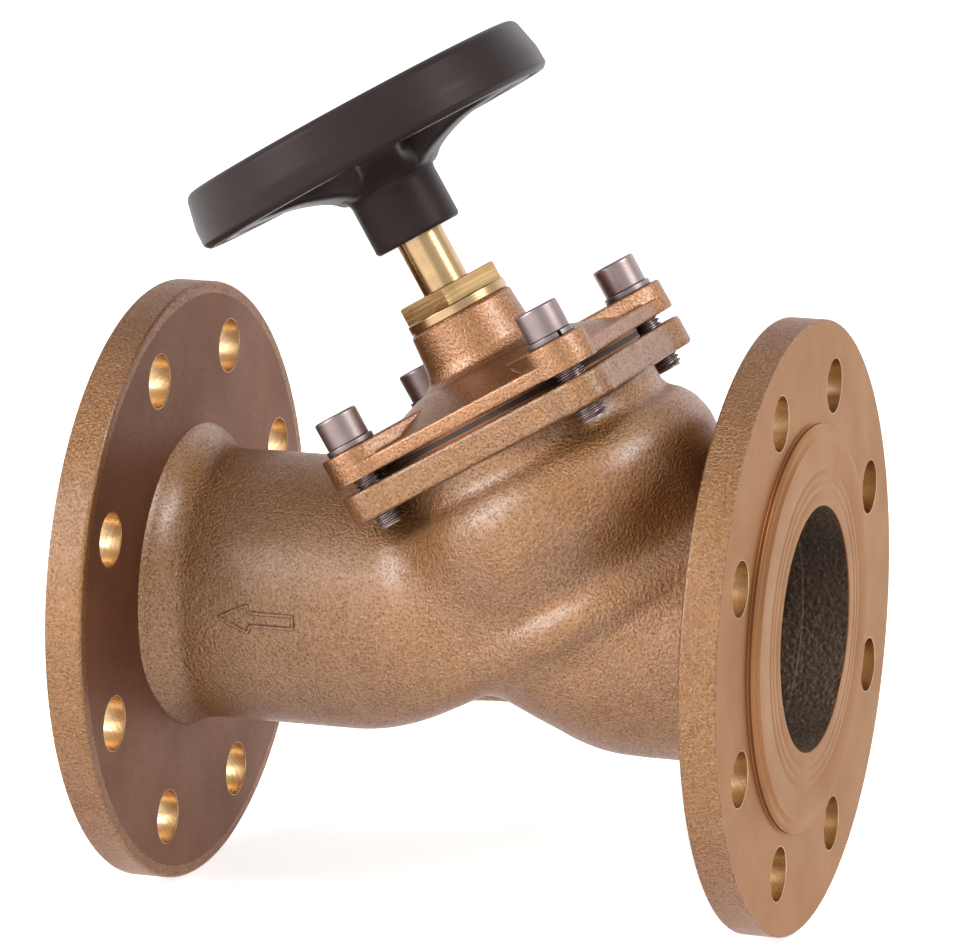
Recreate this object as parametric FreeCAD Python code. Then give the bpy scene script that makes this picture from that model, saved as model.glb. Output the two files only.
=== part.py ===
import FreeCAD, Part
import math
import os

# Flanged oblique-seat globe valve, DN 80, cast bronze, millimetres.
#
# World frame: the origin is the centre of the inlet's raised face, +X points out of
# the inlet along the pipe axis, +Z is up. The flow runs towards -X.
# Stem frame: origin where the stem axis crosses the pipe axis, local Z along the stem
# and out of the valve, local X in the vertical plane. Heights "h" are local Z.

# ---- driving dimensions -------------------------------------------------------------

# pipe run and end flanges
face_to_face = 230.0
bore_d = 80.0
mouth_step = 0.7
wall = 5.0
flange_d = 200.0
flange_t = 12.5
raised_face_d = 133.0
raised_face_t = 3.0
raised_face_chamfer = 1.0
bolt_circle_d = 160.0
bolt_hole_d = 18.0
bolt_count = 8
flange_hub_d = 99.0
outlet_hub_len = 13.0
inlet_hub_len = 7.0
flange_edge_chamfer = 1.0

# stem axis
stem_angle = 60.0
stem_crossing = 65.0

# barrel around the stem axis
barrel_d = 113.0
barrel_neck_d = 94.5
seat_band_d = 99.5
seat_valley_d = 96.5
opening_d = 85.0
chamber_round = 16.0
joint_blend = 6.0
inlet_straight = 55.0
inlet_end_length = 55.0
waist_at = 107.0
waist_r = 32.0
waist_w = 36.0
waist_flare = 5.0
ramp_start = 16.0
ramp_run = 8.0

# bonnet joint
cover_side = 96.0
screw_pitch = 78.8
corner_r = 11.0
plate_edge_round = 1.0
body_flange_top = 77.0
body_flange_t = 10.0
screw_boss_drop = 2.5
facing_d = 95.5
facing_t = 1.0
gasket_t = 1.3
cover_plate_t = 5.2
cover_pad_t = 10.2
cover_dome_d = 92.0
spigot_len = 5.0
spigot_clearance = 0.2
spigot_wall = 4.5
cover_clearance = 1.5
pad_arm_w = 17.0
pad_inner_r = 22.0

# bonnet neck and stem thread boss
neck_d = 36.0
neck_root_d = 37.8
neck_top = 112.1
dome_top_d = 52.0
dome_top = 92.8
thread_boss_d = 34.0
thread_boss_bottom = 55.0
packing_floor = 92.0

# seat and closing disc
seat_bore_d = 74.0
seat_ring_d = 82.0
seat_ring_seat = 3.0
seat_face = 8.0
partition_t = 5.0
lift_now = 16.0
seat_gap = 0.05
disc_d = 84.0
disc_plate_t = 5.0
seal_t = 4.0
seal_proud = 1.5
seal_d = 81.0
seal_washer_d = 66.0
seal_washer_t = 3.0
lock_washer_d = 26.0
lock_washer_t = 1.5
seal_nut_af = 22.0
seal_nut_t = 8.0
disc_spigot_d = 14.0
disc_hub_d = 38.0
disc_hub_h = 12.0
cap_nut_d = 34.0
cap_nut_thread_d = 30.0
cap_nut_t = 6.4
cap_nut_head_t = 2.6
cap_nut_af = 30.0
spigot_end = 2.0

# stem
stem_d = 16.0
stem_thread_d = 20.0
stem_thread_gap = 2.85
stem_thread_top = 85.5
stem_groove_d = 11.0
split_ring_d = 24.6
split_ring_t = 2.8
stem_tip_t = 2.0
split_ring_saw = 0.5
square_depth = 6.0
stem_square = 11.0
running_gap = 0.05
side_gap = 0.1

# packing and gland
packing_d = 27.0
packing_washer_t = 1.6
packing_ring_t = 3.1
packing_ring_count = 3
follower_t = 2.4
gland_thread_d = 29.0
gland_collar_d = 35.2
gland_collar_t = 3.5
gland_nut_d = 34.2
gland_nut_t = 6.2
gland_nut_af = 27.0

# handwheel
hub_bottom = 140.1
hub_d = 30.3
wheel_bottom = 168.6
wheel_top = 187.6
wheel_d = 126.6
wheel_top_d = 121.0
rim_wall = 3.6
rim_inner_d = 104.0
rim_round = 3.0
spoke_w = 19.0
spoke_root_round = 5.0
spoke_count = 5
spoke_start_angle = -67.0
spoke_root = 159.4
hub_seat = 168.2
hub_top = 177.0
hub_recess_d = 21.0
wheel_washer_d = 19.0
wheel_washer_t = 1.6
wheel_screw_d = 8.0
wheel_screw_len = 20.0
wheel_screw_head_d = 13.0
wheel_screw_head_t = 5.0
wheel_screw_socket_af = 5.0

# bonnet screws
screw_d = 10.0
screw_clearance = 0.5
screw_len = 30.0
screw_head_d = 14.8
screw_head_t = 9.8
screw_socket_af = 8.0
screw_socket_depth = 5.0
spring_washer_d = 16.4
spring_washer_t = 1.9
spring_washer_gap = 1.2

# ---- derived sizes ------------------------------------------------------------------

bore_r = bore_d / 2
cast_bore_r = bore_r - mouth_step
tube_r = bore_r + wall
flange_back = raised_face_t + flange_t
far = 2 * face_to_face
cover_bottom = body_flange_top + 2 * facing_t + gasket_t
cover_pad_top = cover_bottom + cover_pad_t
screw_seat = cover_pad_top + spring_washer_t
screw_at = screw_pitch / 2
seal_face = seat_face + lift_now + seat_gap
plate_bottom = seal_face + seal_t
plate_top = plate_bottom + disc_plate_t
disc_hub_top = plate_top + disc_hub_h
stem_thread_bottom = disc_hub_top + cap_nut_head_t + stem_thread_gap
cap_nut_bottom = disc_hub_top - cap_nut_t + cap_nut_head_t
groove_top = cap_nut_bottom - side_gap
groove_bottom = groove_top - split_ring_t - 2 * side_gap
stem_bottom = groove_bottom - stem_tip_t
disc_pocket_floor = stem_bottom - side_gap
packing_top = packing_floor + packing_washer_t + packing_ring_count * packing_ring_t
gland_thread_bottom = packing_top + follower_t
flange_boss_bottom = body_flange_top - body_flange_t - screw_boss_drop
seal_washer_bottom = seal_face - seal_washer_t
lock_washer_bottom = seal_washer_bottom - lock_washer_t
seal_nut_bottom = lock_washer_bottom - seal_nut_t
square_start = hub_bottom + square_depth
stem_top = hub_seat - 0.5

V = FreeCAD.Vector
Z = V(0, 0, 1)
stem_place = FreeCAD.Placement(
    V(-stem_crossing, 0, 0),
    FreeCAD.Rotation(V(0, 1, 0), stem_angle - 90),
)
# local Z of this placement runs along the pipe, towards the inlet
pipe_place = FreeCAD.Placement(V(0, 0, 0), FreeCAD.Rotation(V(0, 1, 0), 90))
outlet_place = FreeCAD.Placement(V(-face_to_face, 0, 0), FreeCAD.Rotation(V(0, 1, 0), -90))


# ---- helpers ------------------------------------------------------------------------

def cyl(radius, bottom, top, x=0.0, y=0.0):
    """Upright cylinder between two heights."""
    return Part.makeCylinder(radius, top - bottom, V(x, y, bottom))


def ring(outer, inner, bottom, top, x=0.0, y=0.0):
    """Flat ring between two heights."""
    return cyl(outer, bottom, top, x, y).cut(cyl(inner, bottom - 1, top + 1, x, y))


def turned(*stretches):
    """Solid turned about local Z from stretches of (radius, height) points.

    A stretch with more than two points is a smooth curve through them. Stretches are
    joined end to end, and the last is closed back to the first.
    """
    edges = []
    last = None
    for stretch in stretches:
        points = [V(r, 0, h) for r, h in stretch]
        if last is not None and (points[0] - last).Length > 1e-6:
            edges.append(Part.LineSegment(last, points[0]).toShape())
        if len(points) == 2:
            edges.append(Part.LineSegment(*points).toShape())
        elif len(points) > 2:
            curve = Part.BSplineCurve()
            curve.interpolate(points)
            edges.append(curve.toShape())
        last = points[-1]
    first = V(stretches[0][0][0], 0, stretches[0][0][1])
    if (first - last).Length > 1e-6:
        edges.append(Part.LineSegment(last, first).toShape())
    face = Part.Face(Part.Wire(edges))
    return face.revolve(V(0, 0, 0), Z, 360)


def polygon(points):
    """Turned solid with straight sides only."""
    return turned(*[(a, b) for a, b in zip(points, points[1:] + points[:1])])


def hexagon(across_flats, bottom, top, x=0.0, y=0.0):
    """Hexagonal prism."""
    r = across_flats / math.sqrt(3)
    corners = [V(x + r * math.cos(k * math.pi / 3), y + r * math.sin(k * math.pi / 3), bottom)
               for k in range(7)]
    return Part.Face(Part.makePolygon(corners)).extrude(V(0, 0, top - bottom))


def box(width, depth, bottom, top, x=0.0, y=0.0):
    """Box centred on x and y."""
    return Part.makeBox(width, depth, top - bottom, V(x - width / 2, y - depth / 2, bottom))


def below(height):
    """Large block below a height."""
    return box(far, far, height - far, height)


def placed(shape, placement):
    """Copy of a shape moved from a local frame into the world frame."""
    copy = shape.copy()
    copy.Placement = placement.multiply(copy.Placement)
    return copy


def local(shape):
    """Copy of a world-frame shape as seen in the stem frame."""
    return placed(shape, stem_place.inverse())


def screw_places():
    """Centres of the four bonnet screws in the stem frame."""
    return [(i * screw_at, j * screw_at) for i in (-1, 1) for j in (-1, 1)]


def lobed_square(bottom, top, grow=0.0, edge=0.0):
    """Square plate with a round lobe around each bonnet screw, and rounded outer edges."""
    side = cover_side + 2 * grow
    plate = box(side, side, bottom, top)
    for x, y in screw_places():
        outside_x = x + math.copysign(far / 2, x)
        outside_y = y + math.copysign(far / 2, y)
        plate = plate.cut(box(far, far, bottom, top, outside_x, outside_y))
        plate = plate.fuse(cyl(corner_r + grow, bottom, top, x, y))
    plate = plate.removeSplitter()
    if edge == 0:
        return plate
    level = [e for e in plate.Edges if e.BoundBox.ZLength < 1e-6]
    return plate.makeFillet(edge, level)


def save(name, *shapes):
    """Write one node; separate solids stay separate in a compound."""
    solids = [s for shape in shapes for s in shape.Solids]
    shape = solids[0] if len(solids) == 1 else Part.makeCompound(solids)
    shape.exportStep(f"parts/{name}.step")
    print(f"{name:20s} solids {len(solids)} volume {shape.Volume:10.1f} valid {shape.isValid()}")


def inner_corners(shape, least_angle=12.0, step=0.3):
    """Edges, other than turned ones, where two faces meet in an inward corner."""
    found = []
    for edge in shape.Edges:
        faces = shape.ancestorsOfType(edge, Part.Face)
        if len(faces) != 2 or isinstance(edge.Curve, Part.Circle):
            continue
        middle = edge.valueAt((edge.FirstParameter + edge.LastParameter) / 2)
        normals = [face.normalAt(*face.Surface.parameter(middle)) for face in faces]
        if math.degrees(normals[0].getAngle(normals[1])) < least_angle:
            continue
        across = (normals[0] - normals[1]) * step
        if shape.isInside(middle + across, 1e-4, True) or shape.isInside(middle - across, 1e-4, True):
            found.append(edge)
    return found


def blended(shape, radius):
    """Shape with its inward corners rounded, by the largest share of a radius that fits."""
    corners = inner_corners(shape)
    for share in (1.0, 0.8, 0.6, 0.4, 0.3):
        try:
            return shape.makeFillet(share * radius, corners)
        except Part.OCCError:
            print(f"blend radius {share * radius:.1f} doesn't fit")
    raise ValueError("no blend radius fits the inward corners")


# ---- body ---------------------------------------------------------------------------

def barrel_skin(offset):
    """Barrel profile from the seat band to the bonnet neck, moved in by an offset."""
    band_r = seat_band_d / 2
    neck_r = barrel_neck_d / 2
    skin = [
        (band_r - 13.8, 0.0),
        (band_r - 4.8, 1.6),
        (band_r, 7.0),
        (seat_valley_d / 2, 14.5),
        (barrel_d / 2 - 4.5, 24.0),
        (barrel_d / 2 - 0.5, 36.0),
        (barrel_d / 2 - 0.1, 44.0),
        (barrel_d / 2 - 1.6, 51.3),
        (barrel_d / 2 - 4.6, 56.2),
        (neck_r + 1.0, 59.8),
        (neck_r, 63.0),
        (neck_r, body_flange_top - body_flange_t),
        (neck_r, body_flange_top),
        (neck_r, cover_pad_top),
    ]
    return [(r - offset, h) for r, h in skin]


def flanged_tube(depth, end_length, hub_len):
    """Flange, hub and tube turned about the pipe axis, with the flange face at 0.

    The tube runs straight to the given depth, then closes in an elliptical end. With an
    end length of 0 it is cut square.
    """
    back = flange_back
    hub_r = flange_hub_d / 2
    edge = flange_edge_chamfer
    face_r = raised_face_d / 2
    lip = raised_face_chamfer
    return turned(
        [(0, 0), (face_r - 2 * lip, 0)],
        [(face_r - 2 * lip, 0), (face_r - lip, -lip)],
        [(face_r - lip, -lip), (face_r, -lip)],
        [(face_r, -lip), (face_r, -raised_face_t)],
        [(face_r, -raised_face_t), (flange_d / 2 - edge, -raised_face_t)],
        [(flange_d / 2 - edge, -raised_face_t), (flange_d / 2, -raised_face_t - edge)],
        [(flange_d / 2, -raised_face_t - edge), (flange_d / 2, edge - back)],
        [(flange_d / 2, edge - back), (flange_d / 2 - edge, -back)],
        [(flange_d / 2 - edge, -back), (hub_r + 4, -back)],
        [
            (hub_r + 4, -back),
            (hub_r + 1, -back - 0.08 * hub_len),
            (hub_r - 0.3, -back - 0.3 * hub_len),
            (tube_r + 1, -back - 0.77 * hub_len),
            (tube_r, -back - hub_len),
        ],
        [(tube_r, -back - hub_len), (tube_r, -depth)],
        end_curve(tube_r, depth, end_length),
    )


def end_curve(radius, depth, length, steps=8):
    """Quarter ellipse that closes a tube, or a square end where its length is 0."""
    if length == 0:
        return [(radius, -depth), (0, -depth)]
    angles = [k * math.pi / 2 / steps for k in range(steps + 1)]
    return [(radius * math.cos(a), -depth - length * math.sin(a)) for a in angles]


def upper_chamber(tube, offset):
    """Outlet tube joined to the barrel above the partition, in the stem frame.

    The tube is cut by the partition plane and rounded off there.
    """
    reach = 2.5 * tube_r
    tube = tube.cut(box(2 * reach, far, offset - far, offset))
    cut_edges = [e for e in tube.Edges
                 if abs(e.BoundBox.ZMax - offset) < 1e-6
                 and abs(e.BoundBox.ZMin - offset) < 1e-6
                 and not isinstance(e.Curve, Part.Line)]
    tube = tube.makeFillet(chamber_round - offset, cut_edges)
    skin = barrel_skin(offset)
    skin[0] = (skin[0][0], offset)
    skin = [point for point in skin if point[1] >= offset]
    top_r, top = skin[-1]
    barrel = turned([(0, offset), skin[0]], skin, [(top_r, top), (0, top)])
    return tube.fuse(barrel).removeSplitter()


def waist_web():
    """Waisted web under the partition that joins the two bellies, about the pipe axis."""
    half = waist_w / 2
    sides = [(waist_r + waist_flare * t * t, half * t - waist_at) for t in (1.0, 0.5, 0.0, -0.5, -1.0)]
    web = turned([(0, half - waist_at), sides[0]], sides, [sides[-1], (0, -half - waist_at)])
    return local(placed(web, pipe_place)).common(below(partition_t))


def inlet_passage():
    """Cavity from the inlet face to the underside of the partition, in the stem frame.

    The cast bore is a full circle to the end of the ramp, then its roof is the partition.
    """
    end = end_curve(cast_bore_r, inlet_straight, inlet_end_length - wall)
    bore = turned([(0, 1), (cast_bore_r, 1)], [(cast_bore_r, 1), end[0]], end)
    roof_x = -ramp_start - ramp_run
    roof_z = (roof_x + stem_crossing) * math.tan(math.radians(90 - stem_angle))
    corners = [
        V(2, -far, -far),
        V(2, -far, far),
        V(-ramp_start, -far, far),
        V(-ramp_start, -far, bore_r),
        V(roof_x, -far, roof_z),
        V(roof_x, -far, -far),
        V(2, -far, -far),
    ]
    mouth = local(Part.Face(Part.makePolygon(corners)).extrude(V(0, 2 * far, 0)))
    bore = local(placed(bore, pipe_place)).common(below(0.0).fuse(mouth))
    return bore.fuse(cyl(seat_bore_d / 2, -wall, partition_t + 1))


def outlet_passage():
    """Cavity above the partition, out of the outlet and up through the bonnet opening."""
    length = face_to_face - stem_crossing + 1
    bore = Part.makeCylinder(cast_bore_r, length, V(0, 0, 1 - length))
    chamber = upper_chamber(local(placed(bore, outlet_place)), wall)
    return chamber.fuse(cyl(opening_d / 2, body_flange_top - body_flange_t, cover_pad_top))


def flange_cuts(x, sign):
    """Machined mouth and bolt holes of one end flange, from its face inwards.

    The holes straddle the vertical centre line.
    """
    holes = [Part.makeCylinder(bore_r, flange_back, V(x, 0, 0), V(sign, 0, 0))]
    for k in range(bolt_count):
        angle = math.radians((k + 0.5) * 360 / bolt_count)
        y = bolt_circle_d / 2 * math.cos(angle)
        z = bolt_circle_d / 2 * math.sin(angle)
        holes.append(Part.makeCylinder(bolt_hole_d / 2, 2 * flange_back, V(x, y, z), V(sign, 0, 0)))
    return Part.makeCompound(holes)


def make_body():
    """Cast body with both flanges, the partition and the square bonnet flange."""
    inlet = flanged_tube(inlet_straight, inlet_end_length, inlet_hub_len)
    outlet = flanged_tube(face_to_face - stem_crossing, 0, outlet_hub_len)
    casting = upper_chamber(local(placed(outlet, outlet_place)), 0.0)
    casting = casting.fuse(local(placed(inlet, pipe_place))).removeSplitter()
    casting = blended(casting, joint_blend).fuse(waist_web())
    flange = lobed_square(body_flange_top - body_flange_t, body_flange_top, edge=plate_edge_round)
    for x, y in screw_places():
        flange = flange.fuse(cyl(corner_r - 1, flange_boss_bottom, body_flange_top, x, y))
    casting = casting.fuse(flange)
    casting = casting.cut(lobed_square(body_flange_top, cover_pad_top + wall, cover_clearance))
    casting = casting.fuse(cyl(facing_d / 2, body_flange_top - 1, body_flange_top + facing_t))
    casting = casting.cut(outlet_passage()).cut(inlet_passage())
    casting = casting.cut(cyl(seat_ring_d / 2, seat_ring_seat, partition_t + 1))
    hole_r = screw_d / 2 + running_gap
    for x, y in screw_places():
        casting = casting.cut(cyl(hole_r, flange_boss_bottom - wall, cover_bottom, x, y))
    body = placed(casting, stem_place)
    body = body.cut(flange_cuts(0.0, -1)).cut(flange_cuts(-face_to_face, 1))
    return body.removeSplitter()


# ---- bonnet -------------------------------------------------------------------------

def make_bonnet():
    """Square cover with four screw pads, a low dome, the gland neck and the thread boss."""
    plate_top_h = cover_bottom + cover_plate_t
    opening_r = opening_d / 2 - spigot_clearance
    spigot_inner = opening_r - spigot_wall
    dome_r = cover_dome_d / 2
    neck_r = neck_d / 2
    root_r = neck_root_d / 2
    boss_r = thread_boss_d / 2
    thread_r = stem_thread_d / 2 + running_gap
    gland_r = gland_thread_d / 2 + running_gap
    facing_bottom = cover_bottom - facing_t
    core = turned(
        [(thread_r, thread_boss_bottom), (boss_r, thread_boss_bottom)],
        [(boss_r, thread_boss_bottom), (boss_r, cover_bottom)],
        [
            (boss_r, cover_bottom),
            (boss_r + 1.5, plate_top_h),
            (boss_r + 6, plate_top_h + 1.4),
            (spigot_inner - 5, cover_bottom + 3.0),
            (spigot_inner, cover_bottom - 1.0),
        ],
        [(spigot_inner, cover_bottom - 1.0), (spigot_inner, facing_bottom - spigot_len)],
        [(spigot_inner, facing_bottom - spigot_len), (opening_r, facing_bottom - spigot_len)],
        [(opening_r, facing_bottom - spigot_len), (opening_r, facing_bottom)],
        [(opening_r, facing_bottom), (facing_d / 2, facing_bottom)],
        [(facing_d / 2, facing_bottom), (facing_d / 2, plate_top_h - 1)],
        [(facing_d / 2, plate_top_h - 1), (dome_r, plate_top_h)],
        [
            (dome_r, plate_top_h),
            ((dome_r + dome_top_d / 2) / 2, (plate_top_h + dome_top) / 2 + 0.4),
            (dome_top_d / 2, dome_top),
            (root_r + 2.6, dome_top + 1.6),
            (root_r + 0.6, dome_top + 4.2),
            (root_r, dome_top + 8.0),
        ],
        [(root_r, dome_top + 8.0), (neck_r + 0.3, neck_top - 0.8)],
        [(neck_r + 0.3, neck_top - 0.8), (neck_r - 0.5, neck_top)],
        [(neck_r - 0.5, neck_top), (gland_r, neck_top)],
        [(gland_r, neck_top), (gland_r, gland_thread_bottom)],
        [(gland_r, gland_thread_bottom), (packing_d / 2, gland_thread_bottom)],
        [(packing_d / 2, gland_thread_bottom), (packing_d / 2, packing_floor)],
        [(packing_d / 2, packing_floor), (thread_r, packing_floor)],
    )
    plate = lobed_square(cover_bottom, plate_top_h, edge=plate_edge_round)
    plate = plate.cut(cyl(facing_d / 2 - 1, cover_bottom - 1, plate_top_h + 1))
    bonnet = core.fuse(plate)
    for x, y in screw_places():
        pad = cyl(corner_r, cover_bottom, cover_pad_top, x, y)
        reach = math.hypot(x, y) - pad_inner_r
        arm = Part.makeBox(reach, pad_arm_w, cover_pad_top - plate_top_h + 1,
                           V(pad_inner_r, -pad_arm_w / 2, plate_top_h - 1))
        arm.rotate(V(0, 0, 0), Z, math.degrees(math.atan2(y, x)))
        bonnet = bonnet.fuse([pad, arm])
    clear_r = screw_d / 2 + screw_clearance
    for x, y in screw_places():
        bonnet = bonnet.cut(cyl(clear_r, cover_bottom - 1, cover_pad_top + 1, x, y))
    return bonnet.removeSplitter()


def make_bonnet_screw(x, y):
    """Socket-head cap screw with its hexagon socket."""
    head_r = screw_head_d / 2
    shank_r = screw_d / 2
    head_top = screw_seat + screw_head_t
    screw = polygon([
        (0, screw_seat - screw_len),
        (shank_r - 1, screw_seat - screw_len),
        (shank_r, screw_seat - screw_len + 1),
        (shank_r, screw_seat),
        (head_r, screw_seat),
        (head_r, head_top - 0.8),
        (head_r - 0.8, head_top),
        (0, head_top),
    ])
    screw = screw.cut(hexagon(screw_socket_af, head_top - screw_socket_depth, head_top + 1))
    screw.translate(V(x, y, 0))
    return screw


def make_spring_washer(x, y):
    """Split spring washer, with its slit facing away from the stem."""
    washer = ring(spring_washer_d / 2, screw_d / 2 + screw_clearance / 2, cover_pad_top, screw_seat)
    slit = Part.makeBox(spring_washer_d, spring_washer_gap, 2 * spring_washer_t,
                        V(0, -spring_washer_gap / 2, cover_pad_top - spring_washer_t / 2))
    slit.rotate(V(0, 0, 0), Z, math.degrees(math.atan2(y, x)))
    washer = washer.cut(slit)
    washer.translate(V(x, y, 0))
    return washer


# ---- packing and gland --------------------------------------------------------------

def make_packing(k):
    """One square-section packing ring, counted from the bottom."""
    bottom = packing_floor + packing_washer_t + k * packing_ring_t
    return ring(packing_d / 2 - side_gap, stem_d / 2 + running_gap, bottom, bottom + packing_ring_t)


def make_gland_nut():
    """Gland nut: thread into the neck, round collar, and four flats under a turned rim."""
    nut_r = gland_nut_d / 2
    collar_r = gland_collar_d / 2
    collar_top = neck_top + gland_collar_t
    top = collar_top + gland_nut_t
    head = polygon([
        (0, collar_top - 1),
        (nut_r, collar_top - 1),
        (nut_r, top - 0.5),
        (nut_r - 0.5, top),
        (0, top),
    ])
    flats = box(gland_nut_af, gland_nut_af, collar_top - 2, top + 1)
    flats.rotate(V(0, 0, 0), Z, spoke_start_angle + 45)
    collar = polygon([
        (0, neck_top),
        (collar_r - 0.4, neck_top),
        (collar_r, neck_top + 0.4),
        (collar_r, collar_top - 0.5),
        (collar_r - 0.5, collar_top),
        (0, collar_top),
    ])
    thread = cyl(gland_thread_d / 2, gland_thread_bottom, neck_top + 1)
    nut = head.common(flats).fuse(collar).fuse(thread)
    return nut.cut(cyl(stem_d / 2 + running_gap, gland_thread_bottom - 1, top + 1)).removeSplitter()


# ---- stem and handwheel -------------------------------------------------------------

def make_stem():
    """Stem: groove for the split rings, raised thread, plain shaft and square end."""
    r = stem_d / 2
    thread_r = stem_thread_d / 2
    stem = polygon([
        (0, stem_bottom),
        (r - 0.5, stem_bottom),
        (r, stem_bottom + 0.5),
        (r, groove_bottom),
        (stem_groove_d / 2, groove_bottom),
        (stem_groove_d / 2, groove_top),
        (r, groove_top),
        (r, stem_thread_bottom),
        (thread_r - 1, stem_thread_bottom),
        (thread_r, stem_thread_bottom + 1),
        (thread_r, stem_thread_top - 1),
        (thread_r - 1, stem_thread_top),
        (r, stem_thread_top),
        (r, square_start),
        (0, square_start),
    ])
    square = box(stem_square, stem_square, square_start - 1, stem_top)
    round_square = square.common(cyl(r - 0.6, square_start - 1, stem_top))
    hole = cyl(wheel_screw_d / 2 + running_gap, stem_top - wheel_screw_len, stem_top + 1)
    return stem.fuse(round_square).cut(hole).removeSplitter()


def make_handwheel():
    """Handwheel: hollow rim open below, five flared spokes, long hub and screw recess."""
    rim_r = wheel_d / 2
    top_r = wheel_top_d / 2
    inner_r = rim_inner_d / 2
    hub_r = hub_d / 2
    rim = turned(
        [(inner_r, wheel_bottom + 1), (inner_r + 1, wheel_bottom)],
        [(inner_r + 1, wheel_bottom), (rim_r - 1.6, wheel_bottom)],
        [
            (rim_r - 1.6, wheel_bottom),
            (rim_r - 0.4, wheel_bottom + 0.7),
            (rim_r, wheel_bottom + 2.4),
            (rim_r - 0.1, wheel_bottom + 8.0),
        ],
        [(rim_r - 0.1, wheel_bottom + 8.0), (top_r, wheel_top - rim_round)],
        [
            (top_r, wheel_top - rim_round),
            (top_r - 0.9, wheel_top - 0.8),
            (top_r - rim_round, wheel_top),
        ],
        [(top_r - rim_round, wheel_top), (inner_r + rim_round, wheel_top)],
        [
            (inner_r + rim_round, wheel_top),
            (inner_r + 0.9, wheel_top - 0.9),
            (inner_r, wheel_top - rim_round),
        ],
        [(inner_r, wheel_top - rim_round), (inner_r, wheel_bottom + 1)],
    )
    channel = ring(rim_r - rim_wall, inner_r + rim_wall, wheel_bottom - 1, wheel_top - rim_wall)
    rim = rim.cut(channel)
    web = turned(
        [(0, spoke_root - 4), (hub_r - 1, spoke_root - 4)],
        [
            (hub_r - 1, spoke_root - 4),
            (hub_r, spoke_root),
            (hub_r + 4, spoke_root + 3.2),
            (hub_r + 10, spoke_root + 5.4),
            (hub_r + 19, spoke_root + 7.6),
            (inner_r - 6, wheel_bottom - 0.2),
            (inner_r + 1, wheel_bottom + 0.2),
        ],
        [(inner_r + 1, wheel_bottom + 0.2), (inner_r + 1, wheel_top - 5)],
        [
            (inner_r + 1, wheel_top - 5),
            (inner_r - 8, hub_top + 2.6),
            (inner_r - 22, hub_top + 0.4),
            (hub_r - 2, hub_top),
        ],
        [(hub_r - 2, hub_top), (0, hub_top)],
    )
    star = cyl(hub_r, spoke_root - 5, hub_top + 1)
    for k in range(spoke_count):
        spoke = Part.makeBox(inner_r + 2, spoke_w, wheel_top, V(0, -spoke_w / 2, spoke_root - 5))
        spoke.rotate(V(0, 0, 0), Z, spoke_start_angle + k * 360 / spoke_count)
        star = star.fuse(spoke)
    star = star.removeSplitter()
    roots = [e for e in star.Edges
             if e.BoundBox.ZLength > 1 and math.hypot(*e.CenterOfMass[:2]) < hub_r + spoke_w / 2]
    star = star.makeFillet(spoke_root_round, roots)
    hub = polygon([
        (0, hub_bottom),
        (hub_r - 0.6, hub_bottom),
        (hub_r, hub_bottom + 0.6),
        (hub_r, hub_top),
        (0, hub_top),
    ])
    wheel = web.common(star).fuse(hub).fuse(rim)
    wheel = wheel.cut(cyl(hub_recess_d / 2, hub_seat, wheel_top))
    wheel = wheel.cut(cyl(stem_d / 2 + side_gap, hub_bottom - 1, square_start))
    hole = box(stem_square + side_gap, stem_square + side_gap, square_start - 1, hub_seat + 1)
    return wheel.cut(hole).removeSplitter()


def make_handwheel_screw():
    """Cheese-head screw with a hexagon socket that holds the handwheel on the stem."""
    bottom = hub_seat + wheel_washer_t
    top = bottom + wheel_screw_head_t
    head_r = wheel_screw_head_d / 2
    shank_r = wheel_screw_d / 2
    screw = polygon([
        (0, bottom - wheel_screw_len),
        (shank_r - 0.8, bottom - wheel_screw_len),
        (shank_r, bottom - wheel_screw_len + 0.8),
        (shank_r, bottom),
        (head_r, bottom),
        (head_r, top - 0.6),
        (head_r - 0.6, top),
        (0, top),
    ])
    return screw.cut(hexagon(wheel_screw_socket_af, top - wheel_screw_head_t / 2, top + 1))


# ---- closing disc -------------------------------------------------------------------

def make_disc():
    """Disc with a cup for the seal, a threaded spigot below and a stem socket above."""
    disc_r = disc_d / 2
    hub_r = disc_hub_d / 2
    cup_r = seal_d / 2 + side_gap
    cup_bottom = seal_face + seal_proud
    spigot_r = disc_spigot_d / 2
    disc = polygon([
        (0, seal_nut_bottom - spigot_end),
        (spigot_r - 1, seal_nut_bottom - spigot_end),
        (spigot_r, seal_nut_bottom - spigot_end + 1),
        (spigot_r, plate_bottom),
        (cup_r, plate_bottom),
        (cup_r, cup_bottom),
        (disc_r, cup_bottom),
        (disc_r, plate_top - 1),
        (disc_r - 1, plate_top),
        (hub_r + 2, plate_top),
        (hub_r, plate_top + 2),
        (hub_r - 1, disc_hub_top),
        (cap_nut_thread_d / 2 + running_gap, disc_hub_top),
        (cap_nut_thread_d / 2 + running_gap, cap_nut_bottom),
        (split_ring_d / 2 + side_gap, cap_nut_bottom),
        (split_ring_d / 2 + side_gap, disc_pocket_floor),
        (0, disc_pocket_floor),
    ])
    return disc


def make_seal_nut():
    """Hexagon nut that clamps the seal stack on the disc's spigot."""
    nut = hexagon(seal_nut_af, seal_nut_bottom, lock_washer_bottom)
    chamfer = polygon([
        (0, seal_nut_bottom),
        (seal_nut_af / 2, seal_nut_bottom),
        (seal_nut_af / 2 + 3, seal_nut_bottom + 1.6),
        (seal_nut_af / 2 + 3, lock_washer_bottom),
        (0, lock_washer_bottom),
    ])
    bore = cyl(disc_spigot_d / 2 + running_gap, seal_nut_bottom - 1, lock_washer_bottom + 1)
    return nut.common(chamfer).cut(bore)


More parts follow.
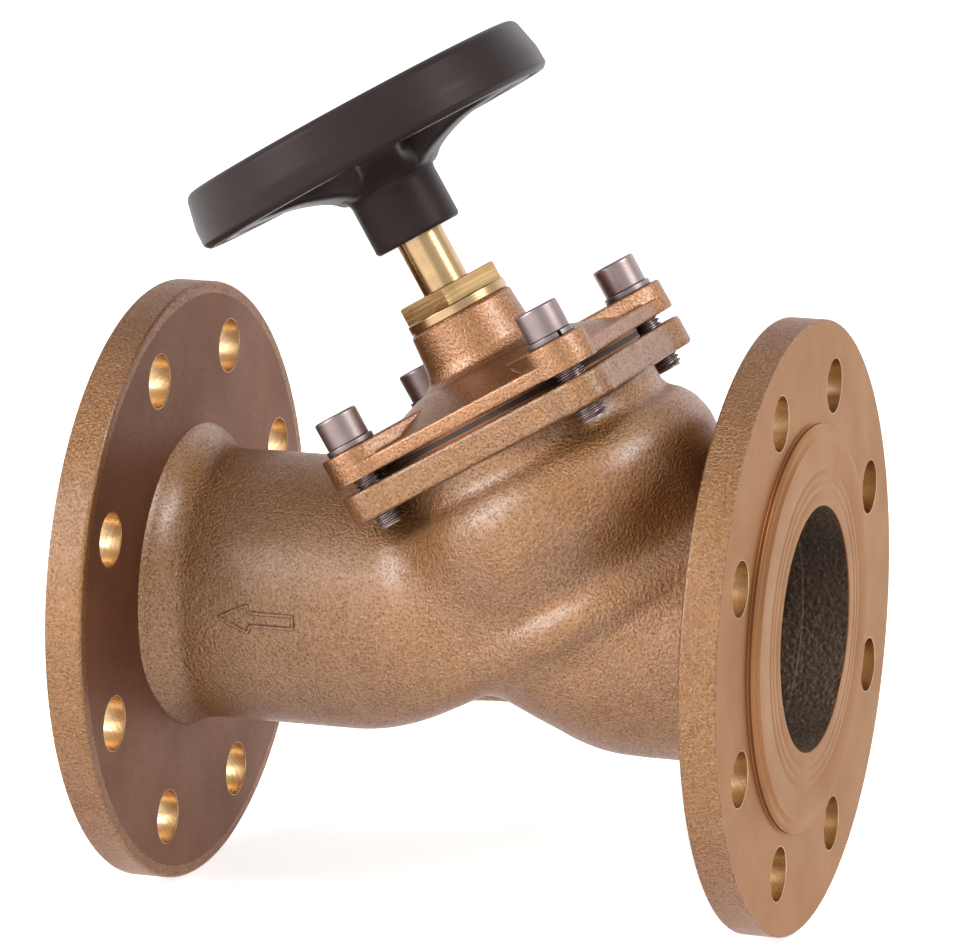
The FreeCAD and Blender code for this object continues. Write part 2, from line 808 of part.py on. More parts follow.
def make_split_rings():
    """Two half rings that sit in the stem groove and carry the disc."""
    inner_r = stem_groove_d / 2 + running_gap
    whole = ring(split_ring_d / 2, inner_r, groove_bottom + side_gap, groove_top - side_gap)
    saw = box(split_ring_d + 2, split_ring_saw, groove_bottom, groove_top)
    return whole.cut(saw)


def make_cap_nut():
    """Ring nut that screws into the disc and holds the split rings down."""
    top = disc_hub_top + cap_nut_head_t
    head = hexagon(cap_nut_af, disc_hub_top, top).common(cyl(cap_nut_d / 2, disc_hub_top, top))
    thread = cyl(cap_nut_thread_d / 2, cap_nut_bottom, disc_hub_top + 0.5)
    return head.fuse(thread).cut(cyl(stem_d / 2 + running_gap, cap_nut_bottom - 1, top + 1)).removeSplitter()


# ---- write the nodes ----------------------------------------------------------------

def on_stem(*shapes):
    """Copies of stem-frame shapes in the world frame."""
    return [placed(shape, stem_place) for shape in shapes]


def main():
    os.makedirs("parts", exist_ok=True)
    save("body", make_body())
    save("seat_ring", *on_stem(ring(seat_ring_d / 2, seat_bore_d / 2, seat_ring_seat, seat_face)))
    save("bonnet", *on_stem(make_bonnet()))
    save("bonnet_gasket", *on_stem(ring(
        facing_d / 2 - side_gap,
        opening_d / 2 + side_gap,
        body_flange_top + facing_t,
        cover_bottom - facing_t,
    )))
    save("bonnet_screws", *on_stem(*[make_bonnet_screw(x, y) for x, y in screw_places()]))
    save("spring_washers", *on_stem(*[make_spring_washer(x, y) for x, y in screw_places()]))
    save("packing_washer", *on_stem(ring(
        packing_d / 2 - side_gap,
        stem_d / 2 + running_gap,
        packing_floor,
        packing_floor + packing_washer_t,
    )))
    for k in range(packing_ring_count):
        save(f"packing_ring_{k + 1}", *on_stem(make_packing(k)))
    save("gland_follower", *on_stem(ring(
        packing_d / 2 - side_gap,
        stem_d / 2 + running_gap,
        packing_top,
        gland_thread_bottom,
    )))
    save("gland_nut", *on_stem(make_gland_nut()))
    save("stem", *on_stem(make_stem()))
    save("handwheel", *on_stem(make_handwheel()))
    save("handwheel_washer", *on_stem(ring(
        wheel_washer_d / 2,
        wheel_screw_d / 2 + side_gap,
        hub_seat,
        hub_seat + wheel_washer_t,
    )))
    save("handwheel_screw", *on_stem(make_handwheel_screw()))
    save("disc", *on_stem(make_disc()))
    save("disc_seal", *on_stem(ring(seal_d / 2, disc_spigot_d / 2 + side_gap, seal_face, plate_bottom)))
    save("seal_washer", *on_stem(ring(
        seal_washer_d / 2,
        disc_spigot_d / 2 + side_gap,
        seal_washer_bottom,
        seal_face,
    )))
    save("seal_lock_washer", *on_stem(ring(
        lock_washer_d / 2,
        disc_spigot_d / 2 + side_gap,
        lock_washer_bottom,
        seal_washer_bottom,
    )))
    save("seal_nut", *on_stem(make_seal_nut()))
    save("stem_split_rings", *on_stem(make_split_rings()))
    save("disc_cap_nut", *on_stem(make_cap_nut()))


main()
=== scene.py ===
import math

import bmesh
import bpy
import numpy as np
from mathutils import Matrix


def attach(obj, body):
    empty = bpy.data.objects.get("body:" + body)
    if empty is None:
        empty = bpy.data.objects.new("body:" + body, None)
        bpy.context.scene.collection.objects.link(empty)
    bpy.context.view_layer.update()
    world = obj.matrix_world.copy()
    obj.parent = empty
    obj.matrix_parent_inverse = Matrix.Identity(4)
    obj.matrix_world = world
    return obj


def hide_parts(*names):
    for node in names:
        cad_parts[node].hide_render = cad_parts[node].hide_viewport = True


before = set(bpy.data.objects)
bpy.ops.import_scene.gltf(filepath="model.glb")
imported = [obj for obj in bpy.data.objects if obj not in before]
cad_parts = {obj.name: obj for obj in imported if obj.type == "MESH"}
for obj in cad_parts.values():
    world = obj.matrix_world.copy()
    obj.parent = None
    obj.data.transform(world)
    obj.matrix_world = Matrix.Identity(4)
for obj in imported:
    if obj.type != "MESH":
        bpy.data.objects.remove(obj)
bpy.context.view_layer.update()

# Flanged oblique-seat globe valve. Shapes are worked out in millimetres and written to the
# meshes in metres. The row frame has its origin at the centre of the inlet's raised face,
# +X out of the inlet and +Z up. The stem frame has its origin where the stem axis crosses
# the pipe axis, s in the plane of pipe and stem, y across and h along the stem.

bl_info = {
    "name": "Oblique globe valve",
    "version": (1, 0, 0),
    "blender": (4, 5, 0),
    "location": "View3D > Sidebar > Valve",
    "description": "Builds the looks of a flanged oblique-seat globe valve on its CAD frame",
    "category": "Add Mesh",
}

MM = 0.001
STEM_FOOT = np.array([-65.0, 0.0, 0.0])
STEM_LEAN = math.radians(30)
STEM_TURN = np.array([
    [math.cos(STEM_LEAN), 0.0, -math.sin(STEM_LEAN)],
    [0.0, 1.0, 0.0],
    [math.sin(STEM_LEAN), 0.0, math.cos(STEM_LEAN)],
])
LENGTH = 230.0
FLANGE_BACK, FLANGE_FRONT = 15.5, 3.0
TUBE_R, BORE_R, CAST_BORE_R = 45.0, 40.0, 39.3
PLATE_LOW, PLATE_HIGH = 67.0, 77.0
COVER_LOW, COVER_HIGH, PAD_HIGH = 80.3, 85.5, 90.5
SCREWS, SCREW_AT = 4, 39.4
SPOKE_START = math.radians(-67)
INNER_FINISHES = {
    "seat face": ("seat_ring", "disc"),
    "fibre": ("bonnet_gasket",),
    "seal": ("disc_seal",),
    "graphite": ("packing_ring_1", "packing_ring_2", "packing_ring_3"),
    "brass": ("packing_washer", "gland_follower", "seal_washer", "seal_nut", "stem_split_rings",
              "disc_cap_nut"),
    "spring": ("seal_lock_washer",),
}


# ---- frames, grids and outlines -------------------------------------------------------

def to_row(points):
    """Stem-frame points in the row frame: the stem's foot plus the turned point."""
    return STEM_FOOT + np.asarray(points) @ STEM_TURN.T


def to_stem(points):
    """Row-frame points in the stem frame: the inverse turn about the stem's foot."""
    local = (points - STEM_FOOT) @ STEM_TURN
    return local[..., 0], local[..., 1], local[..., 2]


def lattice(points, close_u=False, close_v=False):
    """Surface through points[u, v]: one quad between each four neighbours.

    A closed direction joins its last row to its first.
    """
    nu, nv = points.shape[:2]
    index = np.arange(nu * nv).reshape(nu, nv)
    if close_u:
        index = np.vstack([index, index[:1]])
    if close_v:
        index = np.hstack([index, index[:, :1]])
    quads = np.stack([index[:-1, :-1], index[1:, :-1], index[1:, 1:], index[:-1, 1:]], -1)
    return points.reshape(-1, 3), quads.reshape(-1, 4)


def stacked(*layers):
    """Rows of several [u, v] grids with the same v count, one under the other."""
    return np.concatenate(layers, 0)


def ring_points(radius, angle, height):
    """Points (r cos a, r sin a, h) about the Z axis, for arrays that broadcast together."""
    return np.stack(np.broadcast_arrays(radius * np.cos(angle), radius * np.sin(angle), height), -1)


def flat_angles(count):
    """Evenly spaced angles round a circle."""
    return np.linspace(0, 2 * math.pi, count, endpoint=False)


def spun(profile, angles):
    """Surface of revolution: an (r, h) profile goes to (r cos a, r sin a, h) at each angle."""
    profile = np.asarray(profile, float)
    return ring_points(profile[:, :1], angles, profile[:, 1:2])


def turned(profile, turns=96):
    """Surface of revolution at evenly spaced angles."""
    return spun(profile, flat_angles(turns))


def swung(x, y, angle):
    """Plane coordinates turned about the origin by an angle."""
    return x * np.cos(angle) - y * np.sin(angle), x * np.sin(angle) + y * np.cos(angle)


def rounded(corners, steps=4, guard=0.35):
    """Polyline whose corners are arcs.

    A corner is (r, h) or (r, h, radius). Its arc touches both sides, and a guard point
    stands a little way off each end of the arc so that the flat beside it shades flat.
    """
    corners = [tuple(c) + (0.0,) * (3 - len(c)) for c in corners]
    out = [np.array(corners[0][:2])]
    for before, here, after in zip(corners[:-2], corners[1:-1], corners[2:]):
        p = np.array(here[:2])
        a, b = np.array(before[:2]) - p, np.array(after[:2]) - p
        la, lb = np.linalg.norm(a), np.linalg.norm(b)
        a, b = a / la, b / lb
        if here[2] <= 0:
            out.append(p)
            continue
        half = math.acos(np.clip(a @ b, -1, 1)) / 2
        setback = min(here[2] / math.tan(half), 0.45 * la, 0.45 * lb)
        radius = setback * math.tan(half)
        centre = p + (a + b) / np.linalg.norm(a + b) * radius / math.sin(half)
        first, last = p + a * setback, p + b * setback
        if la > setback + 3 * guard:
            out.append(first + a * guard)
        t = np.linspace(0, 1, steps + 1)[:, None]
        fan = (first - centre) * (1 - t) + (last - centre) * t
        out.extend(centre + fan / np.linalg.norm(fan, axis=1, keepdims=True) * radius)
        if lb > setback + 3 * guard:
            out.append(last + b * guard)
    out.append(np.array(corners[-1][:2]))
    return np.array(out)


def smooth_curve(knots, count):
    """Monotone cubic through (position, value) knots, sampled evenly: no overshoot."""
    x, y = np.array(knots, float).T
    slope = np.diff(y) / np.diff(x)
    product = slope[:-1] * slope[1:]
    total = np.where(product > 0, slope[:-1] + slope[1:], 1)
    inner = np.where(product > 0, 2 * product / total, 0)
    m = np.concatenate([slope[:1], inner, slope[-1:]])
    at = np.linspace(x[0], x[-1], count)
    k = np.clip(np.searchsorted(x, at) - 1, 0, len(x) - 2)
    w = x[k + 1] - x[k]
    t = (at - x[k]) / w
    value = ((2 * t**3 - 3 * t**2 + 1) * y[k] + (t**3 - 2 * t**2 + t) * w * m[k]
             + (3 * t**2 - 2 * t**3) * y[k + 1] + (t**3 - t**2) * w * m[k + 1])
    return at, value


def soft_min(a, b, width):
    """Smaller of two fields, blended where they differ by less than the width."""
    mix = np.clip(0.5 + 0.5 * (b - a) / width, 0, 1)
    return b + (a - b) * mix - width * mix * (1 - mix)


def soft_max(a, b, width):
    """Larger of two fields, blended where they differ by less than the width."""
    return -soft_min(-a, -b, width)


def smooth_step(value, low, high):
    """0 below low, 1 above high and an S-curve between."""
    t = np.clip((value - low) / (high - low), 0, 1)
    return t * t * (3 - 2 * t)


def reach(field, origin, direction, far, near=0.0):
    """Distance along each ray at which a field turns positive, by repeated halving."""
    low = np.full(np.broadcast_shapes(origin.shape, direction.shape)[:-1], float(near))
    high = low + far
    for _ in range(30):
        middle = (low + high) / 2
        inside = field(origin + middle[..., None] * direction) < 0
        low = np.where(inside, middle, low)
        high = np.where(inside, high, middle)
    return (low + high) / 2


def lobed_square(x, y, side=48.0, lobe=11.0, blend=2.5):
    """Signed distance of a square with a round lobe about each of its four screws."""
    x, y = np.abs(x), np.abs(y)
    square = np.maximum(x, y) - side
    diagonal = (x + y - 2 * SCREW_AT) / math.sqrt(2)
    square = np.maximum(square, diagonal - 2.0)
    circle = np.hypot(x - SCREW_AT, y - SCREW_AT) - lobe
    return soft_min(square, circle, blend)


def outline_rings(distance, profile, angles, far=80.0):
    """Rings of a plate: for (inset, height) rows, the curve where distance = -inset.

    Each ring point is found along the ray at its angle about the axis.
    """
    unit = ring_points(1.0, angles, 0.0)[None]
    rows = np.asarray(profile, float)
    axis = np.zeros((len(rows), 1, 3))
    r = reach(lambda p: distance(p[..., 0], p[..., 1]) + rows[:, :1], axis, unit, far)
    return ring_points(r, angles, rows[:, 1:2])


# ---- meshes and objects ---------------------------------------------------------------

def make_piece(name, shells, body, stands_for=(), sharp=32.0):
    """One object from shells of (points, quads, finish), in millimetres.

    Doubles are merged, so seams and poles close, and faces are turned outwards.
    """
    finishes, vertices, corners, marks, start = [], [], [], [], 0
    for points, quads, finish in shells:
        if finish not in finishes:
            finishes.append(finish)
        vertices.append(points)
        corners.append(quads + start)
        marks.append(np.full(len(quads), finishes.index(finish)))
        start += len(points)
    vertices, corners, marks = map(np.concatenate, (vertices, corners, marks))
    mesh = bpy.data.meshes.new(name)
    mesh.vertices.add(len(vertices))
    mesh.vertices.foreach_set("co", (vertices * MM).astype(np.float32).ravel())
    mesh.loops.add(corners.size)
    mesh.loops.foreach_set("vertex_index", corners.ravel().astype(np.int32))
    mesh.polygons.add(len(corners))
    mesh.polygons.foreach_set("loop_start", np.arange(0, corners.size, 4, dtype=np.int32))
    mesh.update(calc_edges=True)
    for finish in finishes:
        mesh.materials.append(finish)
    mesh.polygons.foreach_set("material_index", marks.astype(np.int32))
    solid = bmesh.new()
    solid.from_mesh(mesh)
    bmesh.ops.remove_doubles(solid, verts=solid.verts, dist=2e-6)
    bmesh.ops.dissolve_degenerate(solid, edges=solid.edges, dist=1e-6)
    bmesh.ops.recalc_face_normals(solid, faces=solid.faces)
    solid.to_mesh(mesh)
    solid.free()
    if not mesh.polygons:
        raise RuntimeError(name + ": the piece has no faces")
    mesh.polygons.foreach_set("use_smooth", np.ones(len(mesh.polygons), bool))
    mesh.set_sharp_from_angle(angle=math.radians(sharp))
    mesh.update()
    piece = bpy.data.objects.new(name, mesh)
    bpy.context.scene.collection.objects.link(piece)
    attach(piece, body)
    if stands_for:
        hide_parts(*stands_for)
    return piece


def shell(points, finish, place=None, close_u=False, close_v=True):
    """Lattice with its finish, moved by a placing function first."""
    if place is not None:
        points = place(points)
    vertices, quads = lattice(points, close_u, close_v)
    return vertices, quads, finish


# ---- casting --------------------------------------------------------------------------

# Radius of the barrel by height: seat ridge, valley, belly and neck.
BARREL = smooth_curve([
    (0.0, 44.0), (2.5, 47.4), (5.5, 49.8), (8.5, 50.6), (11.5, 49.9), (15.5, 47.9), (19.0, 49.2),
    (25.0, 52.4), (36.0, 56.0), (44.0, 56.4), (51.3, 54.9), (56.2, 51.9), (59.8, 48.25),
    (63.0, 47.25), (90.0, 47.25),
], 500)
# The waist's web: its place, radius, spread along the pipe and narrowness.
WAIST_AT, WAIST_R, WAIST_HALF, WAIST_FLARE, WAIST_NARROW = -104.0, 32.8, 26.0, 0.004, 1.8
# The inlet tube's round end: where it starts and how far it reaches at the bottom.
END_START, END_REACH = -60.0, 47.0
# The inlet bore's round end, and the ramp that leads down from the mouth to the seat.
BORE_END_START, BORE_END_REACH = -55.0, 50.0
MOUTH_AT, RAMP_FALL, RAMP_RUN = -16.0, 0.44, 0.898
# Limit of the outlet bore's tube, short of the seat's high side.
OUTLET_TUBE_END = -62.0


def hub_flare(distance, length, extra=8.5):
    """Extra radius of a flange's hub at a distance from the flange's back."""
    return extra * np.clip(1 - distance / length, 0, 1) ** 2.2


def upper_field(points, offset):
    """Outlet tube above the seat plane blended with the barrel, moved in by an offset.

    The barrel ends just under the bonnet.
    """
    s, y, h = to_stem(points)
    x = points[..., 0]
    r = np.hypot(points[..., 1], points[..., 2])
    outside = offset == 0
    lower = smooth_step(-points[..., 2], 12.0, 42.0)
    flare = hub_flare(x + LENGTH - FLANGE_BACK, 13.0, 8.0 - 4.0 * lower) if outside else 0.0
    tube_floor = -1.2 - h if outside else offset - h
    tube = soft_max(r - (TUBE_R - offset) - flare, tube_floor, 9.0 if outside else 16.0 - offset)
    if not outside:
        tube = np.maximum(tube, x - OUTLET_TUBE_END)
    barrel = (np.hypot(s, y) - np.interp(h, *BARREL) + offset) * 0.93
    barrel = np.maximum(barrel, h - (PLATE_HIGH - 1.0 if outside else PLATE_HIGH - 3.0))
    barrel_floor = (1.0 if outside else offset) - h
    return soft_min(tube, soft_max(barrel, barrel_floor, 4.0), 12.0 if outside else 6.0)


def casting_field(points):
    """Outer skin: upper chamber, inlet tube with its round end, and the web at the waist.

    The round end reaches further under the seat than it does at the bottom, and the web
    is narrower than it is high.
    """
    x, z = points[..., 0], points[..., 2]
    r = np.hypot(points[..., 1], z)
    past = np.clip(END_START - x, 0, None)
    end_reach = END_REACH + 1.25 * np.clip(z + 36.0, 0, 40)
    tube_r = TUBE_R + smooth_step(x, -80.0, -50.0) * (1.0 - 2.5 * smooth_step(z, 5.0, 25.0))
    tube_r = tube_r + hub_flare(-FLANGE_BACK - x, 10.0, 7.0)
    inlet = np.where(past > 0, (np.hypot(past / end_reach, r / tube_r) - 1) * TUBE_R, r - tube_r)
    rib = np.hypot(WAIST_NARROW * points[..., 1], z)
    off = x - WAIST_AT
    web = soft_max(rib - WAIST_R - WAIST_FLARE * off ** 2, np.abs(off) - WAIST_HALF, 6.0)
    return soft_min(soft_min(upper_field(points, 0.0), inlet, 3.8), web, 1.5)


def pipe_circle(columns):
    """Unit circle across the pipe axis, from its top."""
    a = flat_angles(columns)
    return np.stack([0 * a, np.sin(a), np.cos(a)], -1)


def skin_points(columns):
    """Outer skin as rays from the pipe axis: x along it and an angle about it.

    Rays that would pass the bonnet flange stop inside it, at a plane across the stem. Rows
    stand closest where the hubs flare and beside the shoulder.
    """
    x = np.concatenate([
        np.linspace(-14.0, -29.0, 19, endpoint=False),
        np.linspace(-29.0, -44.0, 30, endpoint=False),
        np.linspace(-44.0, -150.0, 88, endpoint=False),
        np.linspace(-150.0, -198.0, 26, endpoint=False),
        np.linspace(-198.0, -216.0, 18),
    ])
    origin = np.stack([x, 0 * x, 0 * x], -1)[:, None]
    unit = pipe_circle(columns)[None]
    return origin + reach(casting_field, origin, unit, 140.0)[..., None] * unit


def inlet_bore(points):
    """Inlet bore and its round end."""
    r = np.hypot(points[..., 1], points[..., 2])
    past = np.clip(BORE_END_START - points[..., 0], 0, None)
    return (np.hypot(past / BORE_END_REACH, r / CAST_BORE_R) - 1) * CAST_BORE_R


def under_seat(points):
    """Bore below the seat plane."""
    return np.maximum(inlet_bore(points), to_stem(points)[2])


def behind_mouth(points):
    """Bore in front of the ramp that leads down from the mouth."""
    x, z = points[..., 0], points[..., 2]
    ramp = RAMP_FALL * (z - BORE_R) - RAMP_RUN * (x - MOUTH_AT)
    return np.maximum(inlet_bore(points), ramp)


def outlet_room(points):
    """Chamber above the partition and the outlet bore."""
    return upper_field(points, TUBE_R - CAST_BORE_R)


def slant_rings(field, tops, lows, columns, far=140.0):
    """Rings of a bent passage: each lies in the plane through a top and a low point.

    The ray at angle a runs from their middle, cos a along the way to the top and sin a
    across it, to where the field turns positive.
    """
    middle = (tops + lows)[:, None] / 2
    up = (tops - lows)[:, None]
    up = up / np.linalg.norm(up, axis=-1, keepdims=True)
    a = flat_angles(columns)[None, :, None]
    unit = np.cos(a) * up + np.sin(a) * np.array([0.0, 1.0, 0.0])
    return middle + reach(field, middle, unit, far)[..., None] * unit


def between(first, last, count, end=True):
    """Evenly spaced points on the line from first to last."""
    t = np.linspace(0, 1, count, endpoint=end)[:, None]
    return np.array(first, float) * (1 - t) + np.array(last, float) * t


def seat_rings(ring, radii_heights):
    """Rings about the stem axis, at the angles of the points of a given ring."""
    s, y, _ = to_stem(ring)
    angle = np.arctan2(y, s)
    return np.stack([to_row(ring_points(r, angle, h)) for r, h in radii_heights])


def passage_points(columns):
    """Inside of the casting from the outlet's mouth over the seat to the inlet's mouth."""
    circle = pipe_circle(columns)
    start = circle[None] * BORE_R + (FLANGE_BACK - LENGTH, 0, 0)
    outlet_x = np.linspace(FLANGE_BACK - LENGTH, -151, 10)
    outlet = np.stack([circle * CAST_BORE_R + (x, 0, 0) for x in outlet_x])
    # Planes of the chamber fan out from a hinge on the outlet bore's floor.
    hinge = np.array([-149.0, 0.0, -CAST_BORE_R + 0.1])
    turn = np.radians(np.linspace(88, 30, 26))
    way = np.stack([np.cos(turn), 0 * turn, np.sin(turn)], -1)
    foot = hinge + way * 4.0
    tops = foot + way * reach(outlet_room, foot, way, 170.0)[:, None]
    chamber = slant_rings(outlet_room, tops, hinge + 0 * way, columns)
    # Two rings sink towards the seat plane, and four more cut the seat's step.
    sink = np.array([0.5, 0, -0.866]) * np.array([[1.2], [2.2]])
    near_floor = slant_rings(outlet_room, tops[-1] + sink, hinge + sink + (3.0, 0, 1.7), columns)
    seat = seat_rings(near_floor[-1], [(41.0, 5.0), (41.0, 3.0), (37.0, 3.0), (37.0, 0.0)])
    # Below the seat the tops run along its plane, and then down the ramp's own slope.
    lows = np.concatenate([
        between((-101, 0, -26.5), (-66, 0, -39.3), 5, False),
        between((-66, 0, -39.3), (-56, 0, -39.3), 2),
    ])
    below = slant_rings(under_seat, between((-27.0, 0, 21.94), (-24.05, 0, 23.64), 7), lows, columns)
    inlet = slant_rings(behind_mouth, between((-23.75, 0, 24.19), (-16.4, 0, 39.2), 7),
                        between((-53, 0, -39.2), (-18, 0, -39.2), 7), columns)
    mouth = np.stack([circle * CAST_BORE_R + (MOUTH_AT, 0, 0), circle * BORE_R + (-FLANGE_BACK, 0, 0)])
    return stacked(start, outlet, chamber, near_floor, seat, below, inlet, mouth)


def casting_shells(cast, inside, columns):
    """Skin and passage as one surface that is closed both round and along."""
    skin = skin_points(columns)
    passage = passage_points(columns)
    return [
        shell(stacked(skin, passage[:1]), cast),
        shell(stacked(passage, skin[:1]), inside),
    ]


# ---- flanges --------------------------------------------------------------------------

HOLES, HOLE_CIRCLE, HOLE_R = 8, 80.0, 9.0
HOLE_SHARE = 2 * math.pi / HOLES
ARC_STEPS = 16


def spot(radius, angle):
    """Plane point at a radius and an angle."""
    return np.stack(np.broadcast_arrays(radius * np.cos(angle), radius * np.sin(angle)), -1)


def hole_cells(radius_in, radius_out, height, edge, side_steps=12, rows=5):
    """Flat ring with a bolt hole in each cell, as grids [cell, row, column].

    A cell is one hole's share of the ring. Its border point and the hole's point in the
    same direction are joined by a straight row, and the columns go once round.
    """
    half = HOLE_SHARE / 2
    radii = np.linspace(radius_in, radius_out, side_steps + 1)
    arc = np.linspace(-half, half, ARC_STEPS + 1)
    border = np.concatenate([
        spot(radii[:-1], -half), spot(radius_out, arc[:-1]),
        spot(radii[:0:-1], half), spot(radius_in, arc[:0:-1]),
    ])
    centre = np.array([HOLE_CIRCLE, 0.0])
    way = border - centre
    rim = centre + way / np.linalg.norm(way, axis=1, keepdims=True) * edge
    t = np.linspace(0, 1, rows)[:, None, None] ** 1.5
    cell = rim * (1 - t) + border * t
    turn = (np.arange(HOLES) + 0.5) * HOLE_SHARE
    x, y = swung(cell[None, ..., 0], cell[None, ..., 1], turn[:, None, None])
    return np.stack([x, y, height + 0 * x], -1)


def rim_angles():
    """Angles of the cell borders round the whole flange."""
    arc = np.linspace(-HOLE_SHARE / 2, HOLE_SHARE / 2, ARC_STEPS + 1)[:-1]
    return np.concatenate([arc + (k + 0.5) * HOLE_SHARE for k in range(HOLES)])


def flange_shells(place, finish):
    """One end flange: raised face with shallow grooves, front, rim, back and bolt holes."""
    angles = rim_angles()
    raised_r, hub_r, rim_r, back_r = 68.5, 56.0, 99.2, 96.0
    groove, groove_half, groove_floor = 0.08, 0.3, 0.08
    grooves = []
    for r in (45.0, 48.3, 51.6):
        grooves += [(r - groove_half, 0), (r - groove_floor, -groove), (r + groove_floor, -groove),
                    (r + groove_half, 0)]
    mouth = [(BORE_R, -FLANGE_BACK), (BORE_R, -0.6)]
    raised = rounded([
        (BORE_R, -0.6), (BORE_R, 0.0, 0.4), *grooves, (62.4, 0.0, 0.2), (63.5, -0.8, 0.2),
        (65.4, -0.9, 0.2), (66.5, -1.7, 0.3), (66.5, -FLANGE_FRONT, 0.25), (raised_r, -FLANGE_FRONT),
    ], steps=3, guard=0.2)
    rim = rounded([
        (rim_r, -FLANGE_FRONT), (100.0, -FLANGE_FRONT, 0.5), (100.0, -FLANGE_BACK, 1.2),
        (back_r, -FLANGE_BACK),
    ], steps=4, guard=0.5)
    edge = HOLE_R + 0.18
    front = hole_cells(raised_r, rim_r, -FLANGE_FRONT, edge)
    back = hole_cells(hub_r, back_r, -FLANGE_BACK, edge)
    wall = rounded([
        (edge, -FLANGE_FRONT), (HOLE_R, -FLANGE_FRONT, 0.15), (HOLE_R, -FLANGE_BACK, 0.15),
        (edge, -FLANGE_BACK),
    ], steps=2)
    behind = [(hub_r, -FLANGE_BACK), (BORE_R, -FLANGE_BACK)]
    # Rim and back take darker copies of the cast bronze as painted shade.
    rings = ((mouth, "bore"), (raised, "face"), (rim, "shaded rim cast"), (behind, "shaded smooth cast"))
    shells = [shell(place(spun(profile, angles)), finish[name]) for profile, name in rings]
    for k in range(HOLES):
        centre = spot(HOLE_CIRCLE, (k + 0.5) * HOLE_SHARE)
        way = (front[k][0][:, :2] - centre) / edge
        tube = np.stack([
            np.concatenate([centre + way * r, 0 * way[:, :1] + h], -1) for r, h in wall
        ])
        shells.append(shell(place(front[k]), finish["face"]))
        shells.append(shell(place(back[k]), finish["shaded smooth cast"]))
        shells.append(shell(place(tube), finish["drilled"]))
    return shells


def on_inlet(points):
    """Flange points with their axis along +X and the raised face at the inlet."""
    return np.stack([points[..., 2], points[..., 0], points[..., 1]], -1)


def on_outlet(points):
    """Flange points turned to face the other way, with the raised face at the outlet."""
    return np.stack([-LENGTH - points[..., 2], points[..., 0], points[..., 1]], -1)


def plate_shell(distance, low, high, inner_r, finish, edge=1.1, columns=208):
    """Flat plate on the stem axis from a round opening out to an outline, closed.

    Rows are rings: the opening, the outline moved in on the underside, its rounded
    edges and side, and the same back over the top.
    """
    angles = flat_angles(columns)
    rows = rounded([(-7.0, low), (0.0, low, edge), (0.0, high, edge), (-7.0, high)], steps=4, guard=0.6)
    outline = outline_rings(distance, [(-offset, h) for offset, h in rows], angles)
    hole = spun([(inner_r, high), (inner_r, low)], angles)
    return shell(stacked(hole[1:], outline, hole[:1]), finish, to_row, close_u=True)


def body_shells(finish, columns):
    """All of the body: casting, both flanges, bonnet flange and facing ring."""
    opening_r, facing_r, facing_low, facing_high = 42.5, 47.75, 76.5, 78.0
    shells = casting_shells(finish["cast"], finish["bore"], columns)
    shells += flange_shells(on_inlet, finish)
    shells += flange_shells(on_outlet, finish)
    shells.append(plate_shell(lobed_square, PLATE_LOW, PLATE_HIGH, opening_r, finish["cast"], edge=1.3))
    facing = rounded([
        (opening_r, facing_low), (facing_r, facing_low), (facing_r, facing_high, 0.3),
        (opening_r, facing_high), (opening_r, facing_low),
    ])
    # The facing ring in the gap takes the bronze darkened as painted shade.
    shells.append(shell(turned(facing, 120), finish["shaded smooth cast"], to_row))
    return shells


def screw_places():
    """Centres of the four bonnet screws in the stem frame."""
    return [(i * SCREW_AT, j * SCREW_AT) for i in (-1, 1) for j in (-1, 1)]


def arrow_shell(finish, steps):
    """Raised outline of an arrow on the outlet tube, as a half-round ridge.

    The path lies in (x, arc) on the tube. A point of the ridge is the path's point moved
    across the path and out along the tube's radius by a half circle.
    """
    half = [(-189.6, 0.0), (-179.6, 4.6), (-178.5, 2.1), (-163.6, 2.1)]
    corners = np.array(half + [(x, -t) for x, t in half[:0:-1]])
    ahead = np.roll(corners, -1, 0)
    t = np.linspace(0, 1, steps, endpoint=False)[None, :, None]
    path = (corners[:, None] * (1 - t) + ahead[:, None] * t).reshape(-1, 2)
    for _ in range(2):
        path = (np.roll(path, 1, 0) + 2 * path + np.roll(path, -1, 0)) / 4
    along = np.roll(path, -1, 0) - np.roll(path, 1, 0)
    along /= np.linalg.norm(along, axis=1, keepdims=True)
    across = np.stack([-along[:, 1], along[:, 0]], -1)[:, None]
    b = np.linspace(0, math.pi, 9)[None, :, None]
    ridge_half, ridge_high, sunk, root = 0.7, 0.95, 0.12, 0.9
    flat = path[:, None] + across * ridge_half * np.cos(b)
    lift = ridge_high * np.sin(b[..., 0]) - sunk
    flat = np.concatenate([flat, flat[:, ::-1]], 1)
    lift = np.concatenate([lift, 0 * lift - root], 1) + 0 * flat[..., 0]
    angle = flat[..., 1] / TUBE_R
    origin = np.stack([flat[..., 0], 0 * angle, 0 * angle], -1)
    unit = np.stack([0 * angle, -np.cos(angle), np.sin(angle)], -1)
    r = reach(casting_field, origin, unit, 80.0) + lift
    return shell(origin + r[..., None] * unit, finish, close_u=True)


# ---- bonnet ---------------------------------------------------------------------------

DOME = smooth_curve([
    (17.0, 95.5), (20.0, 94.4), (23.0, 93.6), (26.0, 92.8), (31.0, 91.2), (38.0, 88.6),
    (46.0, 85.5), (60.0, 85.5),
], 300)


def dome_height(r):
    """Height of the bonnet's top at a radius, without neck and pads."""
    return np.interp(r, *DOME)


